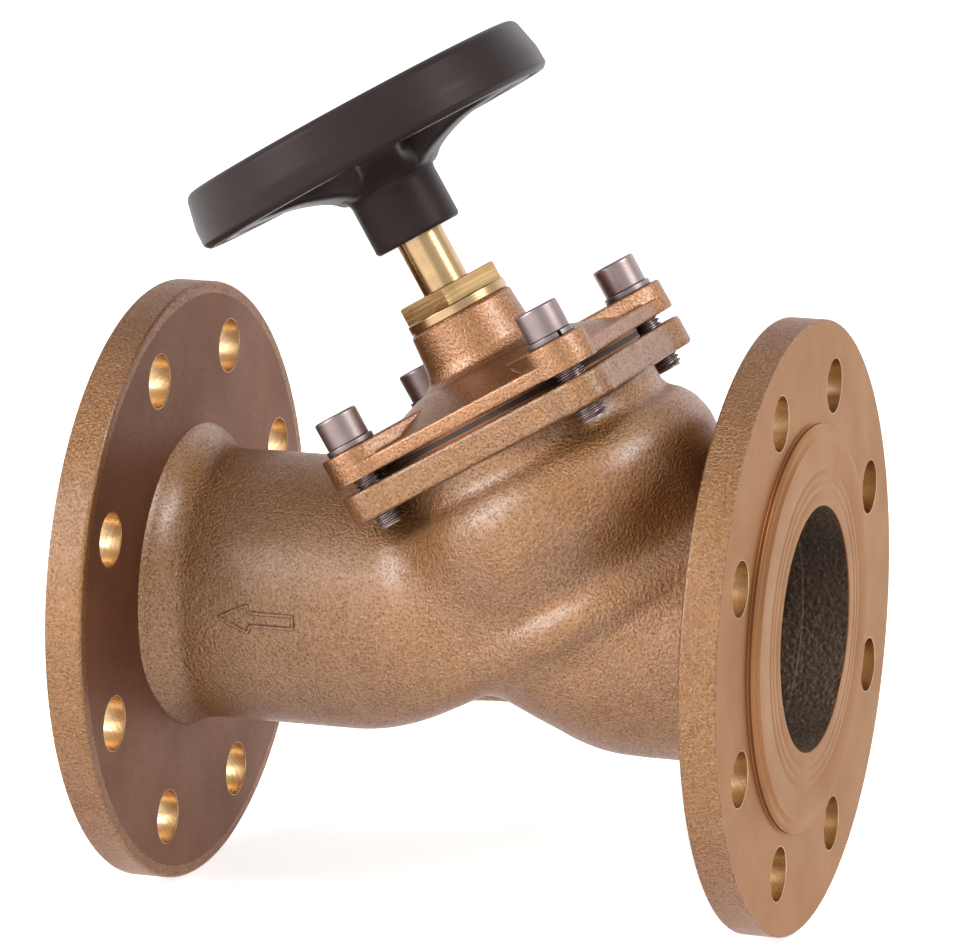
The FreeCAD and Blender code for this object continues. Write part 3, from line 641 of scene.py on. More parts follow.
def pad_shell(turn, finish):
    """One screw pad with its arm, rounded above and flowing out into the dome below.

    The outline is a slot shape along the arm: two sides that part slightly and a round
    end about the screw. Rows go from a point on the flat top over the rounded edge, down
    the wall and out in a quarter circle to the dome, except where the pad is flush with
    the plate's own outline; there the wall runs down into the plate.
    """
    at, end_r, root_u, root_w, tuck = SCREW_AT * math.sqrt(2), 11.0, 22.0, 8.3, 0.06
    lean = math.asin((end_r - root_w) / (at - root_u))
    arc = np.linspace(-math.pi / 2 + lean * 0.5, math.pi / 2 - lean * 0.5, 41)
    tip = np.stack([at + end_r * np.cos(arc), end_r * np.sin(arc)], -1)
    side = np.linspace(0, 1, 34, endpoint=False)[:, None]
    out = np.array([root_u, -root_w]) * (1 - side) + tip[0] * side
    home = out[::-1] * (1, -1)
    inner = np.linspace(-root_w, root_w, 9)[::-1][1:-1]
    outline = np.concatenate([out, tip, home, np.stack([0 * inner + root_u, inner], -1)])
    along = np.roll(outline, -1, 0) - np.roll(outline, 1, 0)
    normal = np.stack([along[:, 1], -along[:, 0]], -1)
    normal /= np.linalg.norm(normal, axis=1, keepdims=True)
    x, y = swung(outline[:, 0], outline[:, 1], turn)
    flush = smooth_step(lobed_square(x, y), -3.2, -0.6)
    base = dome_height(np.hypot(x, y)) * (1 - flush) + (COVER_HIGH - 2.0) * flush
    flare = 1.6 * (1 - flush)
    top = rounded([
        (-5.0, PAD_HIGH), (0.0, PAD_HIGH, 0.9), (0.0, PAD_HIGH - 2.0),
    ], steps=4, guard=0.4)[:-1]

    def row(plan, height):
        """Outline points at a height."""
        return np.concatenate([plan, outline[:, :1] * 0 + np.reshape(height, (-1, 1))], -1)

    middle = outline * 0 + (at - 14.0, 0)
    rows = [row(middle, PAD_HIGH)]
    rows += [row(outline + normal * (offset - tuck), h) for offset, h in top]
    foot = np.minimum(base + flare, PAD_HIGH - 1.0)
    for b in np.radians([0, 22, 45, 68, 90]):
        offset = flare * (1 - math.cos(b)) - tuck
        rows.append(row(outline + normal * offset[:, None], foot - flare * math.sin(b) - 0.25))
    rows.append(row(outline + normal * (flare - tuck)[:, None], base - 3.0))
    rows.append(row(middle, COVER_LOW + 1.5))
    grid = np.stack(rows)
    spun_x, spun_y = swung(grid[..., 0], grid[..., 1], turn)
    return shell(np.stack([spun_x, spun_y, grid[..., 2]], -1), finish, to_row)


def bonnet_shells(cast, inner):
    """Bonnet: turned core with spigot, boss, dome and neck, square plate and four pads."""
    core = rounded([
        (14.55, 112.1), (14.55, 105.3), (13.5, 105.3), (13.5, 92.0), (10.05, 92.0), (10.05, 55.0),
        (17.0, 55.0, 1.0), (17.0, 80.3, 3.0), (32.8, 83.3, 3.0), (37.8, 79.3), (37.8, 74.3, 0.5),
        (42.3, 74.3, 0.5), (42.3, 79.3), (47.75, 79.3, 0.3), (47.75, 83.0), (46.0, 84.0),
        (46.0, 85.5),
    ])
    neck = rounded([
        (46.0, 85.5), (45.0, 85.95), (38.0, 88.6), (31.0, 91.2), (26.4, 92.7, 3), (23.4, 93.5, 2),
        (20.6, 95.2, 3), (19.1, 98.4, 6), (18.6, 104.0), (18.1, 111.2, 0.4), (17.4, 112.1, 0.4),
        (14.55, 112.1),
    ], steps=6)
    shells = [
        shell(turned(core, 120), inner, to_row),
        shell(turned(neck, 120), cast, to_row),
        plate_shell(lobed_square, COVER_LOW, COVER_HIGH, 40.0, cast, edge=1.0),
    ]
    for k in range(4):
        shells.append(pad_shell(math.pi / 4 + k * math.pi / 2, cast))
    return shells


# ---- fasteners, gland and stem --------------------------------------------------------

def threaded(radius, depth, pitch, low, high, rows_per_turn=8, turns=40):
    """Screw thread: the radius falls by a rounded tooth of (turns of h - angle).

    The tooth fades out over the last pitch at each end.
    """
    h = np.linspace(low, high, int((high - low) / pitch * rows_per_turn) + 1)[:, None]
    a = flat_angles(turns)[None]
    phase = (h / pitch - a / (2 * math.pi)) % 1.0
    tooth = smooth_step(np.abs(phase - 0.5) * 2, 0.18, 0.82)
    fade = smooth_step(h, low, low + pitch) * (1 - smooth_step(h, high - 0.3 * pitch, high))
    r = radius - depth * (1 - (1 - tooth) * fade)
    return ring_points(r, a, h)


def closed_ends(rings, low=True, high=True):
    """Rings with a point on the axis added below and above."""
    first = np.mean(rings[:1], 1, keepdims=True) + 0 * rings[:1]
    last = np.mean(rings[-1:], 1, keepdims=True) + 0 * rings[-1:]
    return stacked(*([first] if low else []), rings, *([last] if high else []))


def hexagon_ring(across, height, columns, turn=0.0):
    """Ring of points on a hexagon with the given width across its flats."""
    a = flat_angles(columns)
    folded = (a + math.pi / 6) % (math.pi / 3) - math.pi / 6
    r = across / 2 / np.cos(folded)
    return ring_points(r, a + turn, height)[None]


def socket_head(head_r, low, high, across, depth, columns=72, turn=0.4):
    """Cap screw head with rounded edges and a hexagon socket, from its underside up."""
    side = rounded([
        (4.0, low), (head_r - 0.1, low, 0.35), (head_r, high, 0.9), (across * 0.62, high),
    ], steps=4, guard=0.4)
    outer = spun(side, flat_angles(columns) + turn)
    return stacked(
        outer,
        hexagon_ring(across + 0.5, high, columns, turn),
        hexagon_ring(across, high - 0.4, columns, turn),
        hexagon_ring(across, high - depth, columns, turn),
        hexagon_ring(0.01, high - depth - 1.2, columns, turn),
    )


def bonnet_screw(k, finish):
    """One M10 cap screw with a full thread below the head."""
    x, y = screw_places()[k]
    low, head_low = 62.4, 92.4
    shank = threaded(5.0, 0.85, 1.5, low, 88.0)
    tip = turned([(0.01, low - 0.01), (3.9, low - 0.01)], 40)
    plain = turned([(4.9, 88.3), (4.9, head_low + 0.5), (0.01, head_low + 0.5)], 40)
    rod = stacked(tip, shank, plain)
    socket = socket_head(7.4, head_low, head_low + 9.8, 8.0, 5.0, turn=0.4 + 1.3 * k)
    head = closed_ends(socket, high=False)
    offset = np.array([x, y, 0.0])
    return [shell(rod + offset, finish, to_row), shell(head + offset, finish, to_row)]


def split_washer(k, finish):
    """Spring washer: a rounded square section carried round, with its ends slightly apart."""
    x, y = screw_places()[k]
    radial = math.atan2(y, x)
    turn = np.linspace(0.075, 2 * math.pi - 0.075, 73) + radial
    top = PAD_HIGH + 1.9
    corners = rounded([
        (6.9, PAD_HIGH), (8.2, PAD_HIGH, 0.3), (8.2, top, 0.3), (5.4, top, 0.3),
        (5.4, PAD_HIGH, 0.3), (6.9, PAD_HIGH),
    ], steps=3)[:-1]
    grid = ring_points(corners[:, 0], turn[:, None], corners[:, 1]) + (x, y, 0.0)
    return shell(closed_ends(grid), finish, to_row)


def gland_shells(finish, milled):
    """Gland nut: turned collar and bore, and a head with four milled flats."""
    nut_r, half, top, ledge = 17.1, 13.5, 121.8, 115.7
    corner = math.acos(half / nut_r)
    flat = np.linspace(-corner, corner, 15)
    arc = np.linspace(corner, math.pi / 2 - corner, 8)[1:-1]
    quarter = np.concatenate([flat, arc])
    first = SPOKE_START + math.pi / 4
    angles = np.concatenate([quarter + k * math.pi / 2 for k in range(4)]) + first
    folded = (angles - first + math.pi / 4) % (math.pi / 2) - math.pi / 4

    def outline(inset, height):
        r = np.minimum(nut_r, half / np.cos(folded)) - inset
        return ring_points(r, angles, height)

    sides = np.stack([
        outline(0.0, ledge - 0.6), outline(0.0, ledge + 0.3), outline(0.0, top - 0.7),
        outline(0.12, top - 0.2), outline(0.4, top),
    ])
    upper = spun([(9.2, top), (8.6, top - 0.4), (8.15, top - 0.9), (8.15, ledge - 0.6)], angles)
    collar = rounded([
        (8.15, 112.1), (17.2, 112.1), (17.6, 112.6, 0.2), (17.6, 115.3, 0.3), (17.0, 115.75, 0.2),
        (8.15, 115.75), (8.15, 112.1),
    ], steps=3, guard=0.3)
    thread = rounded([(8.15, 105.4), (14.4, 105.4, 0.5), (14.4, 112.3), (8.15, 112.3), (8.15, 105.4)])
    return [
        shell(stacked(sides, upper), milled, to_row, close_u=True),
        shell(turned(collar, 96), finish, to_row),
        shell(turned(thread, 64), finish, to_row),
    ]


def stem_shells(finish):
    """Stem: tip and groove for the half rings, raised thread, plain shaft and a narrower round end."""
    angles = flat_angles(64)
    lower = rounded([
        (0.01, 36.45), (7.5, 36.45), (8.0, 36.95), (8.0, 38.45), (5.5, 38.45), (5.5, 41.45),
        (8.0, 41.45), (8.0, 50.0), (7.6, 50.5),
    ])
    screw = threaded(10.0, 2.0, 4.0, 50.5, 85.5, rows_per_turn=10, turns=64)
    upper = rounded([(8.0, 85.6), (8.0, 145.9), (7.4, 146.1), (7.4, 167.6), (0.01, 167.6)])
    return [shell(stacked(spun(lower, angles), screw, spun(upper, angles)), finish, to_row)]


# ---- handwheel ------------------------------------------------------------------------

SPOKES = 5
# Underside of a spoke by radius.
WEB = smooth_curve([
    (10.0, 158.0), (15.1, 159.4), (18.0, 161.6), (24.0, 164.3), (34.0, 167.0), (44.0, 168.0),
    (56.0, 168.8),
], 200)


def spoke_grid(turn):
    """One spoke: a rounded section whose width and height change along the radius.

    Width flares at hub and rim, the underside follows the web curve and the top dishes.
    """
    u = np.linspace(6.0, 55.0, 44)[:, None]
    b = flat_angles(40)[None]
    low = np.interp(u, *WEB)
    high = 177.0 + 6.2 * smooth_step(u, 26.0, 54.0)
    wide = 8.6 + 5.0 * (1 - smooth_step(u, 10.0, 27.0)) + 4.2 * smooth_step(u, 40.0, 55.0)
    power = 0.42
    c, s = np.cos(b), np.sin(b)
    v = wide * np.sign(c) * np.abs(c) ** power
    h = (low + high) / 2 + (high - low) / 2 * np.sign(s) * np.abs(s) ** power
    return closed_ends(np.stack([*swung(u, v, turn), h], -1))


def handwheel_shells(finish):
    """Handwheel: hollow rim open below, spokes, and a long hub that flares into them."""
    rim = rounded([
        (53.0, 168.6, 0.8), (56.5, 168.6, 0.8), (56.6, 183.0, 2.0), (58.0, 184.0, 1.0), (59.3, 182.0, 1.0),
        (59.6, 170.2, 0.6), (60.3, 168.6, 0.5), (61.6, 168.6, 0.9), (63.25, 170.2, 1.4), (63.1, 176.0, 12),
        (60.5, 187.6, 3.2), (53.0, 187.6, 3.0), (52.0, 176.0, 8), (52.0, 168.6, 0.8), (53.0, 168.6),
    ], steps=6)
    hub = rounded([
        (8.1, 146.1), (8.1, 140.9), (8.9, 140.1, 0.3), (14.5, 140.1, 0.9), (15.15, 141.2, 0.5),
        (15.15, 158.8, 3.0), (18.2, 161.8, 4.0), (20.2, 165.5, 2.0), (20.2, 175.0, 2.0),
        (14.0, 177.5, 1.0), (11.2, 177.2, 0.8), (10.5, 168.2, 0.3), (8.1, 168.2), (8.1, 146.1),
    ], steps=6)
    shells = [shell(turned(rim, 192), finish, to_row), shell(turned(hub, 96), finish, to_row)]
    for k in range(SPOKES):
        shells.append(shell(spoke_grid(SPOKE_START + k * 2 * math.pi / SPOKES), finish, to_row))
    return shells


def wheel_screw_shells(finish):
    """Short socket screw in the hub's recess."""
    low = 169.8
    head = socket_head(6.5, low, low + 5.0, 5.0, 2.5, columns=60)
    rod = closed_ends(threaded(4.0, 0.6, 1.25, low - 20.0, low + 0.4))
    return [shell(closed_ends(head, high=False), finish, to_row), shell(rod, finish, to_row)]


def wheel_washer_shell(finish):
    """Flat washer under the handwheel screw."""
    return shell(turned(rounded([
        (4.1, 168.2), (9.5, 168.2, 0.2), (9.5, 169.8, 0.3), (4.1, 169.8, 0.2), (4.1, 168.2),
    ], steps=2), 64), finish, to_row)


# ---- shared shader groups -------------------------------------------------------------

def new_group(name, inputs, outputs):
    """Empty shader group with named sockets, and its two end nodes."""
    group = bpy.data.node_groups.new(name, "ShaderNodeTree")
    for label, kind, value in inputs:
        socket = group.interface.new_socket(label, in_out="INPUT", socket_type="NodeSocket" + kind)
        if value is not None:
            socket.default_value = value
    for label, kind in outputs:
        group.interface.new_socket(label, in_out="OUTPUT", socket_type="NodeSocket" + kind)
    return group, group.nodes.new("NodeGroupInput").outputs, group.nodes.new("NodeGroupOutput").inputs


def feed(tree, socket, value):
    """Link a socket to another node's output, or set it to a number, vector or colour."""
    if isinstance(value, bpy.types.NodeSocket):
        tree.links.new(value, socket)
    elif socket.type == "RGBA":
        socket.default_value = opaque(value)
    else:
        socket.default_value = value


def opaque(tint):
    """Linear colour with full alpha."""
    return (*tint[:3], 1.0)


def wire(tree, kind, settings=None, **inputs):
    """New node with its properties set and its inputs fed, by name or as i and a number."""
    node = tree.nodes.new("ShaderNode" + kind)
    for key, value in (settings or {}).items():
        setattr(node, key, value)
    for key, value in inputs.items():
        feed(tree, node.inputs[int(key[1:]) if key[1:].isdigit() else key.replace("_", " ")], value)
    return node


def arithmetic(tree, operation, a, b=0.0, clamp=False):
    """Output of a math node."""
    return wire(tree, "Math", {"operation": operation, "use_clamp": clamp}, i0=a, i1=b).outputs[0]


def spread(tree, value, low, high, new_low=0.0, new_high=1.0):
    """Value moved from one range to another and kept inside it."""
    return wire(tree, "MapRange", {"clamp": True}, Value=value, From_Min=low, From_Max=high,
                To_Min=new_low, To_Max=new_high).outputs[0]


def blend_colour(tree, factor, first, second):
    """Mix of two colours."""
    return wire(tree, "Mix", {"data_type": "RGBA"}, i0=factor, i6=first, i7=second).outputs[2]


def use_group(tree, group, **inputs):
    """Group placed in a material with its own values."""
    return wire(tree, "Group", {"node_tree": group}, **inputs).outputs


def cast_grain_group():
    """Sand-cast skin: soft grains, fine pits and slow swells as a height and a tone, and a mask of painted
    glints, highlight specks painted into the colour.
    """
    group, given, out = new_group(
        "cast grain and painted glint",
        [("Vector", "Vector", None), ("Grain per Metre", "Float", 900.0), ("Swell", "Float", 0.5),
         ("Pits", "Float", 0.6)],
        [("Height", "Float"), ("Tone", "Float"), ("Painted Glint", "Float")],
    )
    place, grain = given["Vector"], given["Grain per Metre"]
    fine = wire(group, "TexNoise", {"noise_dimensions": "3D"}, Vector=place, Scale=grain,
                Detail=3.0, Roughness=0.62, Distortion=0.15)
    pits = wire(group, "TexVoronoi", {"feature": "SMOOTH_F1"}, Vector=place,
                Scale=arithmetic(group, "MULTIPLY", grain, 0.8), Smoothness=0.6)
    swell = wire(group, "TexNoise", {}, Vector=place,
                 Scale=arithmetic(group, "MULTIPLY", grain, 0.11), Detail=2.0, Roughness=0.5)
    slow = wire(group, "TexNoise", {}, Vector=place, Scale=22.0, Detail=3.0, Roughness=0.6)
    pit_part = arithmetic(group, "MULTIPLY", pits.outputs["Distance"], given["Pits"])
    swell_part = arithmetic(group, "MULTIPLY", swell.outputs[0], given["Swell"])
    pitted = arithmetic(group, "ADD", fine.outputs[0], pit_part)
    group.links.new(arithmetic(group, "ADD", pitted, swell_part), out["Height"])
    group.links.new(slow.outputs[0], out["Tone"])
    # Painted glint: a mask of bright specks that puts highlights into the colour.
    painted_glint = wire(group, "TexNoise", {}, Vector=place, Scale=grain, Detail=1.0)
    group.links.new(spread(group, painted_glint.outputs[0], 0.6, 0.72), out["Painted Glint"])
    return group


def turned_rings_group():
    """Tool rings about the vector's Z axis: uneven fine rings, as a height and a tone."""
    group, given, out = new_group(
        "turned rings",
        [("Vector", "Vector", None), ("Rings per Metre", "Float", 1500.0), ("Along", "Float", 0.0)],
        [("Height", "Float"), ("Tone", "Float")],
    )
    parts = wire(group, "SeparateXYZ", {}, Vector=given["Vector"])
    flat = wire(group, "CombineXYZ", {}, X=parts.outputs[0], Y=parts.outputs[1])
    length = wire(group, "VectorMath", {"operation": "LENGTH"}, i0=flat.outputs[0])
    axial = arithmetic(group, "MULTIPLY", parts.outputs[2], given["Along"])
    reading = arithmetic(group, "ADD", length.outputs["Value"], axial)
    line = wire(group, "CombineXYZ", {}, X=reading).outputs[0]
    fine_scale = given["Rings per Metre"]
    broad_scale = arithmetic(group, "MULTIPLY", fine_scale, 0.12)
    fine = wire(group, "TexNoise", {}, Vector=line, Scale=fine_scale, Detail=2.0)
    broad = wire(group, "TexNoise", {}, Vector=line, Scale=broad_scale, Detail=3.0)
    group.links.new(fine.outputs[0], out["Height"])
    group.links.new(broad.outputs[0], out["Tone"])
    return group


def handling_group():
    """Smudges and wear: a slow mask that changes gloss and tone a little."""
    group, given, out = new_group(
        "handling",
        [("Vector", "Vector", None), ("Patch per Metre", "Float", 30.0), ("Amount", "Float", 1.0)],
        [("Mask", "Float")],
    )
    cloud = wire(group, "TexNoise", {}, Vector=given["Vector"], Scale=given["Patch per Metre"],
                 Detail=4.0, Roughness=0.6)
    mask = spread(group, cloud.outputs[0], 0.35, 0.7)
    group.links.new(arithmetic(group, "MULTIPLY", mask, given["Amount"]), out["Mask"])
    return group


def new_material(name, metallic, roughness):
    """Material with its tree, shader and object coordinates."""
    material = bpy.data.materials.new(name)
    material.use_nodes = True
    tree = material.node_tree
    shader = tree.nodes["Principled BSDF"]
    shader.inputs["Metallic"].default_value = metallic
    shader.inputs["Roughness"].default_value = roughness
    return material, tree, shader, tree.nodes.new("ShaderNodeTexCoord").outputs["Object"]


def stem_axis_vector(tree, vector):
    """Object coordinates moved to the stem's foot and turned so that Z is the stem axis."""
    moved = wire(tree, "Mapping", {"vector_type": "POINT"}, Vector=vector,
                 Location=tuple(-STEM_FOOT * MM))
    return wire(tree, "Mapping", {"vector_type": "POINT"}, Vector=moved.outputs[0],
                Rotation=(0, STEM_LEAN, 0)).outputs[0]


def pipe_axis_vector(tree, vector):
    """Object coordinates turned so that Z is the pipe axis."""
    return wire(tree, "Mapping", {}, Vector=vector, Rotation=(0, math.radians(90), 0)).outputs[0]


def bump(tree, shader, height, distance):
    """Bump from a height into the shader's normal."""
    node = wire(tree, "Bump", {}, Strength=1.0, Distance=distance, Height=height)
    tree.links.new(node.outputs[0], shader.inputs["Normal"])


def handling_mask(tree, groups, place, patches):
    """Smudges with that many patches in a metre."""
    given = {"Vector": place, "Patch_per_Metre": patches, "Amount": 1.0}
    return use_group(tree, groups["handling"], **given)["Mask"]


def cast_material(name, groups, light, dark, grain=1350.0, depth=0.0006, rough=(0.31, 0.42),
                  metallic=0.9, painted_glint=0.35, coat=0.0, edge=(1.0, 1.0, 1.0)):
    """Rough cast metal: grain in the surface, two tones in slow patches and small painted glints,
    highlight specks painted into the colour.

    The coat lies on the tops of the grain, and the grain's hollows are darkened in the colour
    as painted shade. The edge colour is what the metal turns to where it is seen at a slant.
    """
    material, tree, shader, place = new_material(name, metallic, rough[0])
    skin = use_group(tree, groups["grain"], Vector=place, Grain_per_Metre=grain, Pits=0.6, Swell=0.22)
    tone = blend_colour(tree, spread(tree, skin["Tone"], 0.3, 0.7), light, dark)
    # Painted shade: the grain's hollows take a darker copy of the dark tone.
    hollow = tuple(0.45 * c for c in dark)
    shaded = blend_colour(tree, spread(tree, skin["Height"], 0.46, 0.94, 0.65, 0.0), tone, hollow)
    # Painted glint: specks of a paler colour stand in for sparkling highlights.
    painted_glint_colour = tuple(min(1.0, 1.25 * c + 0.12) for c in light)
    final = blend_colour(tree, arithmetic(tree, "MULTIPLY", skin["Painted Glint"], painted_glint), shaded, painted_glint_colour)
    feed(tree, shader.inputs["Base Color"], final)
    worn = handling_mask(tree, groups, place, 26.0)
    feed(tree, shader.inputs["Roughness"], spread(tree, worn, 0.0, 1.0, *rough))
    if coat:
        sheen = spread(tree, skin["Height"], 0.5, 1.0, 0.1 * coat, 1.3 * coat)
        feed(tree, shader.inputs["Coat Weight"], sheen)
    shader.inputs["Coat Roughness"].default_value = 0.37
    shader.inputs["Coat IOR"].default_value = 1.6
    shader.inputs["Specular Tint"].default_value = opaque(edge)
    bump(tree, shader, skin["Height"], depth)
    return material


def turned_material(name, groups, axis, light, dark, rough=(0.22, 0.36), rings=1500.0, along=0.0,
                    depth=0.00004, metallic=1.0, edge=(1.0, 1.0, 1.0)):
    """Machined metal with tool rings about an axis."""
    material, tree, shader, place = new_material(name, metallic, rough[0])
    marks = use_group(tree, groups["rings"], Vector=axis(tree, place), Rings_per_Metre=rings,
                      Along=along)
    worn = handling_mask(tree, groups, place, 40.0)
    mix = arithmetic(tree, "ADD", arithmetic(tree, "MULTIPLY", marks["Tone"], 0.6),
                     arithmetic(tree, "MULTIPLY", worn, 0.4))
    tone = blend_colour(tree, spread(tree, mix, 0.2, 0.8), light, dark)
    feed(tree, shader.inputs["Base Color"], tone)
    feed(tree, shader.inputs["Roughness"], spread(tree, mix, 0.2, 0.8, *rough))
    shader.inputs["Specular Tint"].default_value = opaque(edge)
    bump(tree, shader, marks["Height"], depth)
    return material


def milled_material(name, groups, light, dark):
    """Brass with straight cutter lines across the stem axis on its flats."""
    material, tree, shader, place = new_material(name, 1.0, 0.28)
    vector = stem_axis_vector(tree, place)
    lines = wire(tree, "Mapping", {}, Vector=vector, Scale=(0.02, 0.02, 1.0)).outputs[0]
    cuts = wire(tree, "TexNoise", {}, Vector=lines, Scale=1300.0, Detail=2.0, Roughness=0.6)
    worn = handling_mask(tree, groups, place, 60.0)
    tone = blend_colour(tree, spread(tree, cuts.outputs[0], 0.35, 0.65), dark, light)
    feed(tree, shader.inputs["Base Color"], tone)
    feed(tree, shader.inputs["Roughness"], spread(tree, worn, 0.0, 1.0, 0.24, 0.42))
    bump(tree, shader, cuts.outputs[0], 0.00018)
    return material


def plastic_material(name, groups, light, dark, rough=(0.3, 0.42)):
    """Moulded plastic: a very fine skin, faint smudges and a satin gloss."""
    material, tree, shader, place = new_material(name, 0.0, rough[0])
    skin = use_group(tree, groups["grain"], Vector=place, Grain_per_Metre=2600.0, Pits=0.3, Swell=0.2)
    worn = handling_mask(tree, groups, place, 22.0)
    feed(tree, shader.inputs["Base Color"], blend_colour(tree, worn, dark, light))
    feed(tree, shader.inputs["Roughness"], spread(tree, worn, 0.0, 1.0, *rough))
    shader.inputs["Specular IOR Level"].default_value = 0.1
    shader.inputs["Specular Tint"].default_value = opaque((1.0, 0.8, 0.84))
    bump(tree, shader, skin["Height"], 0.00005)
    return material


def build_materials(choice):
    """Every finish of the valve, by name, from three shared groups.

    The colours that may be changed come from the settings.
    """
    groups = {"grain": cast_grain_group(), "rings": turned_rings_group(), "handling": handling_group()}
    warm_edge = (0.5, 0.3, 0.18)
    castings = {
        "cast": ("cast bronze", choice.cast_light, choice.cast_dark, dict(coat=0.85, edge=warm_edge)),
        # Painted shade: the flange rims take a darker copy of the cast bronze.
        "shaded rim cast": ("cast bronze rim in painted shade", (0.247, 0.116, 0.0414), (0.19, 0.0851, 0.0287),
                     dict(coat=0.6, edge=warm_edge)),
        # Painted shade: a darker copy of the cast bronze, with a smoother skin, for the flange backs, the
        # facing ring in the gap and the bonnet's core.
        "shaded smooth cast": ("cast bronze in painted shade", (0.207, 0.0874, 0.046), (0.161, 0.0655, 0.0345),
                        dict(grain=1400.0, depth=0.00008, rough=(0.5, 0.62), painted_glint=0.0)),
        "cover": ("cast bronze bonnet", choice.cover_light, choice.cover_dark,
                  dict(depth=0.00032, coat=0.8, edge=warm_edge)),
        "bore": ("cast bronze passage", (0.138, 0.0897, 0.0575), (0.069, 0.046, 0.0322),
                 dict(grain=700.0, rough=(0.55, 0.75), metallic=0.55, painted_glint=0.3)),
        "fibre": ("gasket fibre", (0.042, 0.0336, 0.0288), (0.024, 0.0204, 0.018),
                  dict(grain=1600.0, depth=0.0001, rough=(0.75, 0.85), metallic=0.0, painted_glint=0.0)),
        "graphite": ("packing graphite", (0.069, 0.069, 0.0747), (0.0403, 0.0403, 0.046),
                     dict(grain=1300.0, depth=0.0002, rough=(0.5, 0.65), metallic=0.2, painted_glint=0.2)),
    }
    machined = {
        "face": ("machined bronze", pipe_axis_vector, (0.255, 0.112, 0.046), (0.218, 0.092, 0.0368),
                 dict(rough=(0.34, 0.44), rings=1400.0, metallic=0.85, depth=0.000015,
                      edge=(0.93, 0.81, 0.67))),
        "drilled": ("drilled bronze", pipe_axis_vector, (0.621, 0.443, 0.253), (0.483, 0.316, 0.172),
                    dict(rough=(0.22, 0.34), rings=900.0, along=1.0)),
        "seat face": ("machined bronze seat", stem_axis_vector, (0.632, 0.425, 0.253),
                      (0.483, 0.322, 0.184), {}),
        "brass": ("turned brass", stem_axis_vector, choice.brass_light, choice.brass_dark,
                  dict(rough=(0.2, 0.32), rings=1800.0, along=1.0)),
        "steel": ("plated steel", stem_axis_vector, choice.steel_light, choice.steel_dark,
                  dict(rough=(0.34, 0.48), rings=1200.0, along=1.0)),
        "spring": ("spring steel", stem_axis_vector, (0.253, 0.213, 0.213), (0.161, 0.138, 0.138),
                   dict(rough=(0.36, 0.5), rings=900.0, along=1.0)),
    }
    made = {}
    for key, (name, light, dark, values) in castings.items():
        made[key] = cast_material(name, groups, light, dark, **values)
    for key, (name, axis, light, dark, values) in machined.items():
        made[key] = turned_material(name, groups, axis, light, dark, **values)
    made["milled"] = milled_material("milled brass", groups, (0.575, 0.391, 0.19), (0.425, 0.27, 0.121))
    made["plastic"] = plastic_material("moulded plastic", groups, choice.plastic_light,
                                       choice.plastic_dark)
    made["seal"] = plastic_material("soft seal", groups, (0.82, 0.81, 0.78), (0.76, 0.75, 0.71),
                                    (0.4, 0.5))
    return made


# ---- settings and operators -----------------------------------------------------------

FINISHES = {}


class ValveSettings(bpy.types.PropertyGroup):
    """Sizes and colours that may be changed before the pieces are built."""

    skin_columns: bpy.props.IntProperty(
        name="Casting columns", description="Points round the casting's skin", default=216, min=48,
        max=300,
    )
    arrow_steps: bpy.props.IntProperty(
        name="Arrow steps", description="Points along each side of the flow arrow", default=14, min=4,
        max=40,
    )
    cast_light: bpy.props.FloatVectorProperty(
        name="Casting, light", description="Lighter tone of the cast body",
        subtype="COLOR", min=0.0, max=1.0,
        default=(0.278, 0.130, 0.044),
    )
    cast_dark: bpy.props.FloatVectorProperty(
        name="Casting, dark", description="Darker tone of the cast body",
        subtype="COLOR", min=0.0, max=1.0,
        default=(0.212, 0.094, 0.030),
    )
    cover_light: bpy.props.FloatVectorProperty(
        name="Bonnet, light", description="Lighter tone of the cast bonnet",
        subtype="COLOR", min=0.0, max=1.0,
        default=(0.322, 0.144, 0.0552),
    )
    cover_dark: bpy.props.FloatVectorProperty(
        name="Bonnet, dark", description="Darker tone of the cast bonnet",
        subtype="COLOR", min=0.0, max=1.0,
        default=(0.247, 0.106, 0.0391),
    )
    brass_light: bpy.props.FloatVectorProperty(
        name="Brass, light", description="Lighter tone of stem and gland nut",
        subtype="COLOR", min=0.0, max=1.0,
        default=(0.448, 0.307, 0.167),
    )
    brass_dark: bpy.props.FloatVectorProperty(
        name="Brass, dark", description="Darker tone of stem and gland nut",
        subtype="COLOR", min=0.0, max=1.0,
        default=(0.351, 0.228, 0.115),
    )
    steel_light: bpy.props.FloatVectorProperty(
        name="Steel, light", description="Lighter tone of the socket screws",
        subtype="COLOR", min=0.0, max=1.0,
        default=(0.299, 0.236, 0.228),
    )
    steel_dark: bpy.props.FloatVectorProperty(
        name="Steel, dark", description="Darker tone of the socket screws",
        subtype="COLOR", min=0.0, max=1.0,
        default=(0.218, 0.169, 0.167),
    )
    plastic_light: bpy.props.FloatVectorProperty(
        name="Plastic, light", description="Lighter tone of the handwheel",
        subtype="COLOR", min=0.0, max=1.0,
        default=(0.0372, 0.0264, 0.0258),
    )
    plastic_dark: bpy.props.FloatVectorProperty(
        name="Plastic, dark", description="Darker tone of the handwheel",
        subtype="COLOR", min=0.0, max=1.0,
        default=(0.0252, 0.018, 0.0178),
    )


class StageSettings(bpy.types.PropertyGroup):
    """Floor and light that may be changed before the stage is built."""

    backdrop_size: bpy.props.FloatProperty(
        name="Backdrop size", description="Half width of the floor", default=6.0, unit="LENGTH",
    )
    key_power: bpy.props.FloatProperty(
        name="Key light", description="Power of the large soft light in front", default=35.0,
        subtype="POWER", unit="POWER",
    )
    lift: bpy.props.FloatProperty(
        name="Floor lift", description="White added to the floor as the camera sees it",
        default=0.72, subtype="FACTOR",
    )
    surround: bpy.props.FloatProperty(
        name="Surround", description="Brightness of what the metal reflects", default=0.3,
        subtype="FACTOR",
    )


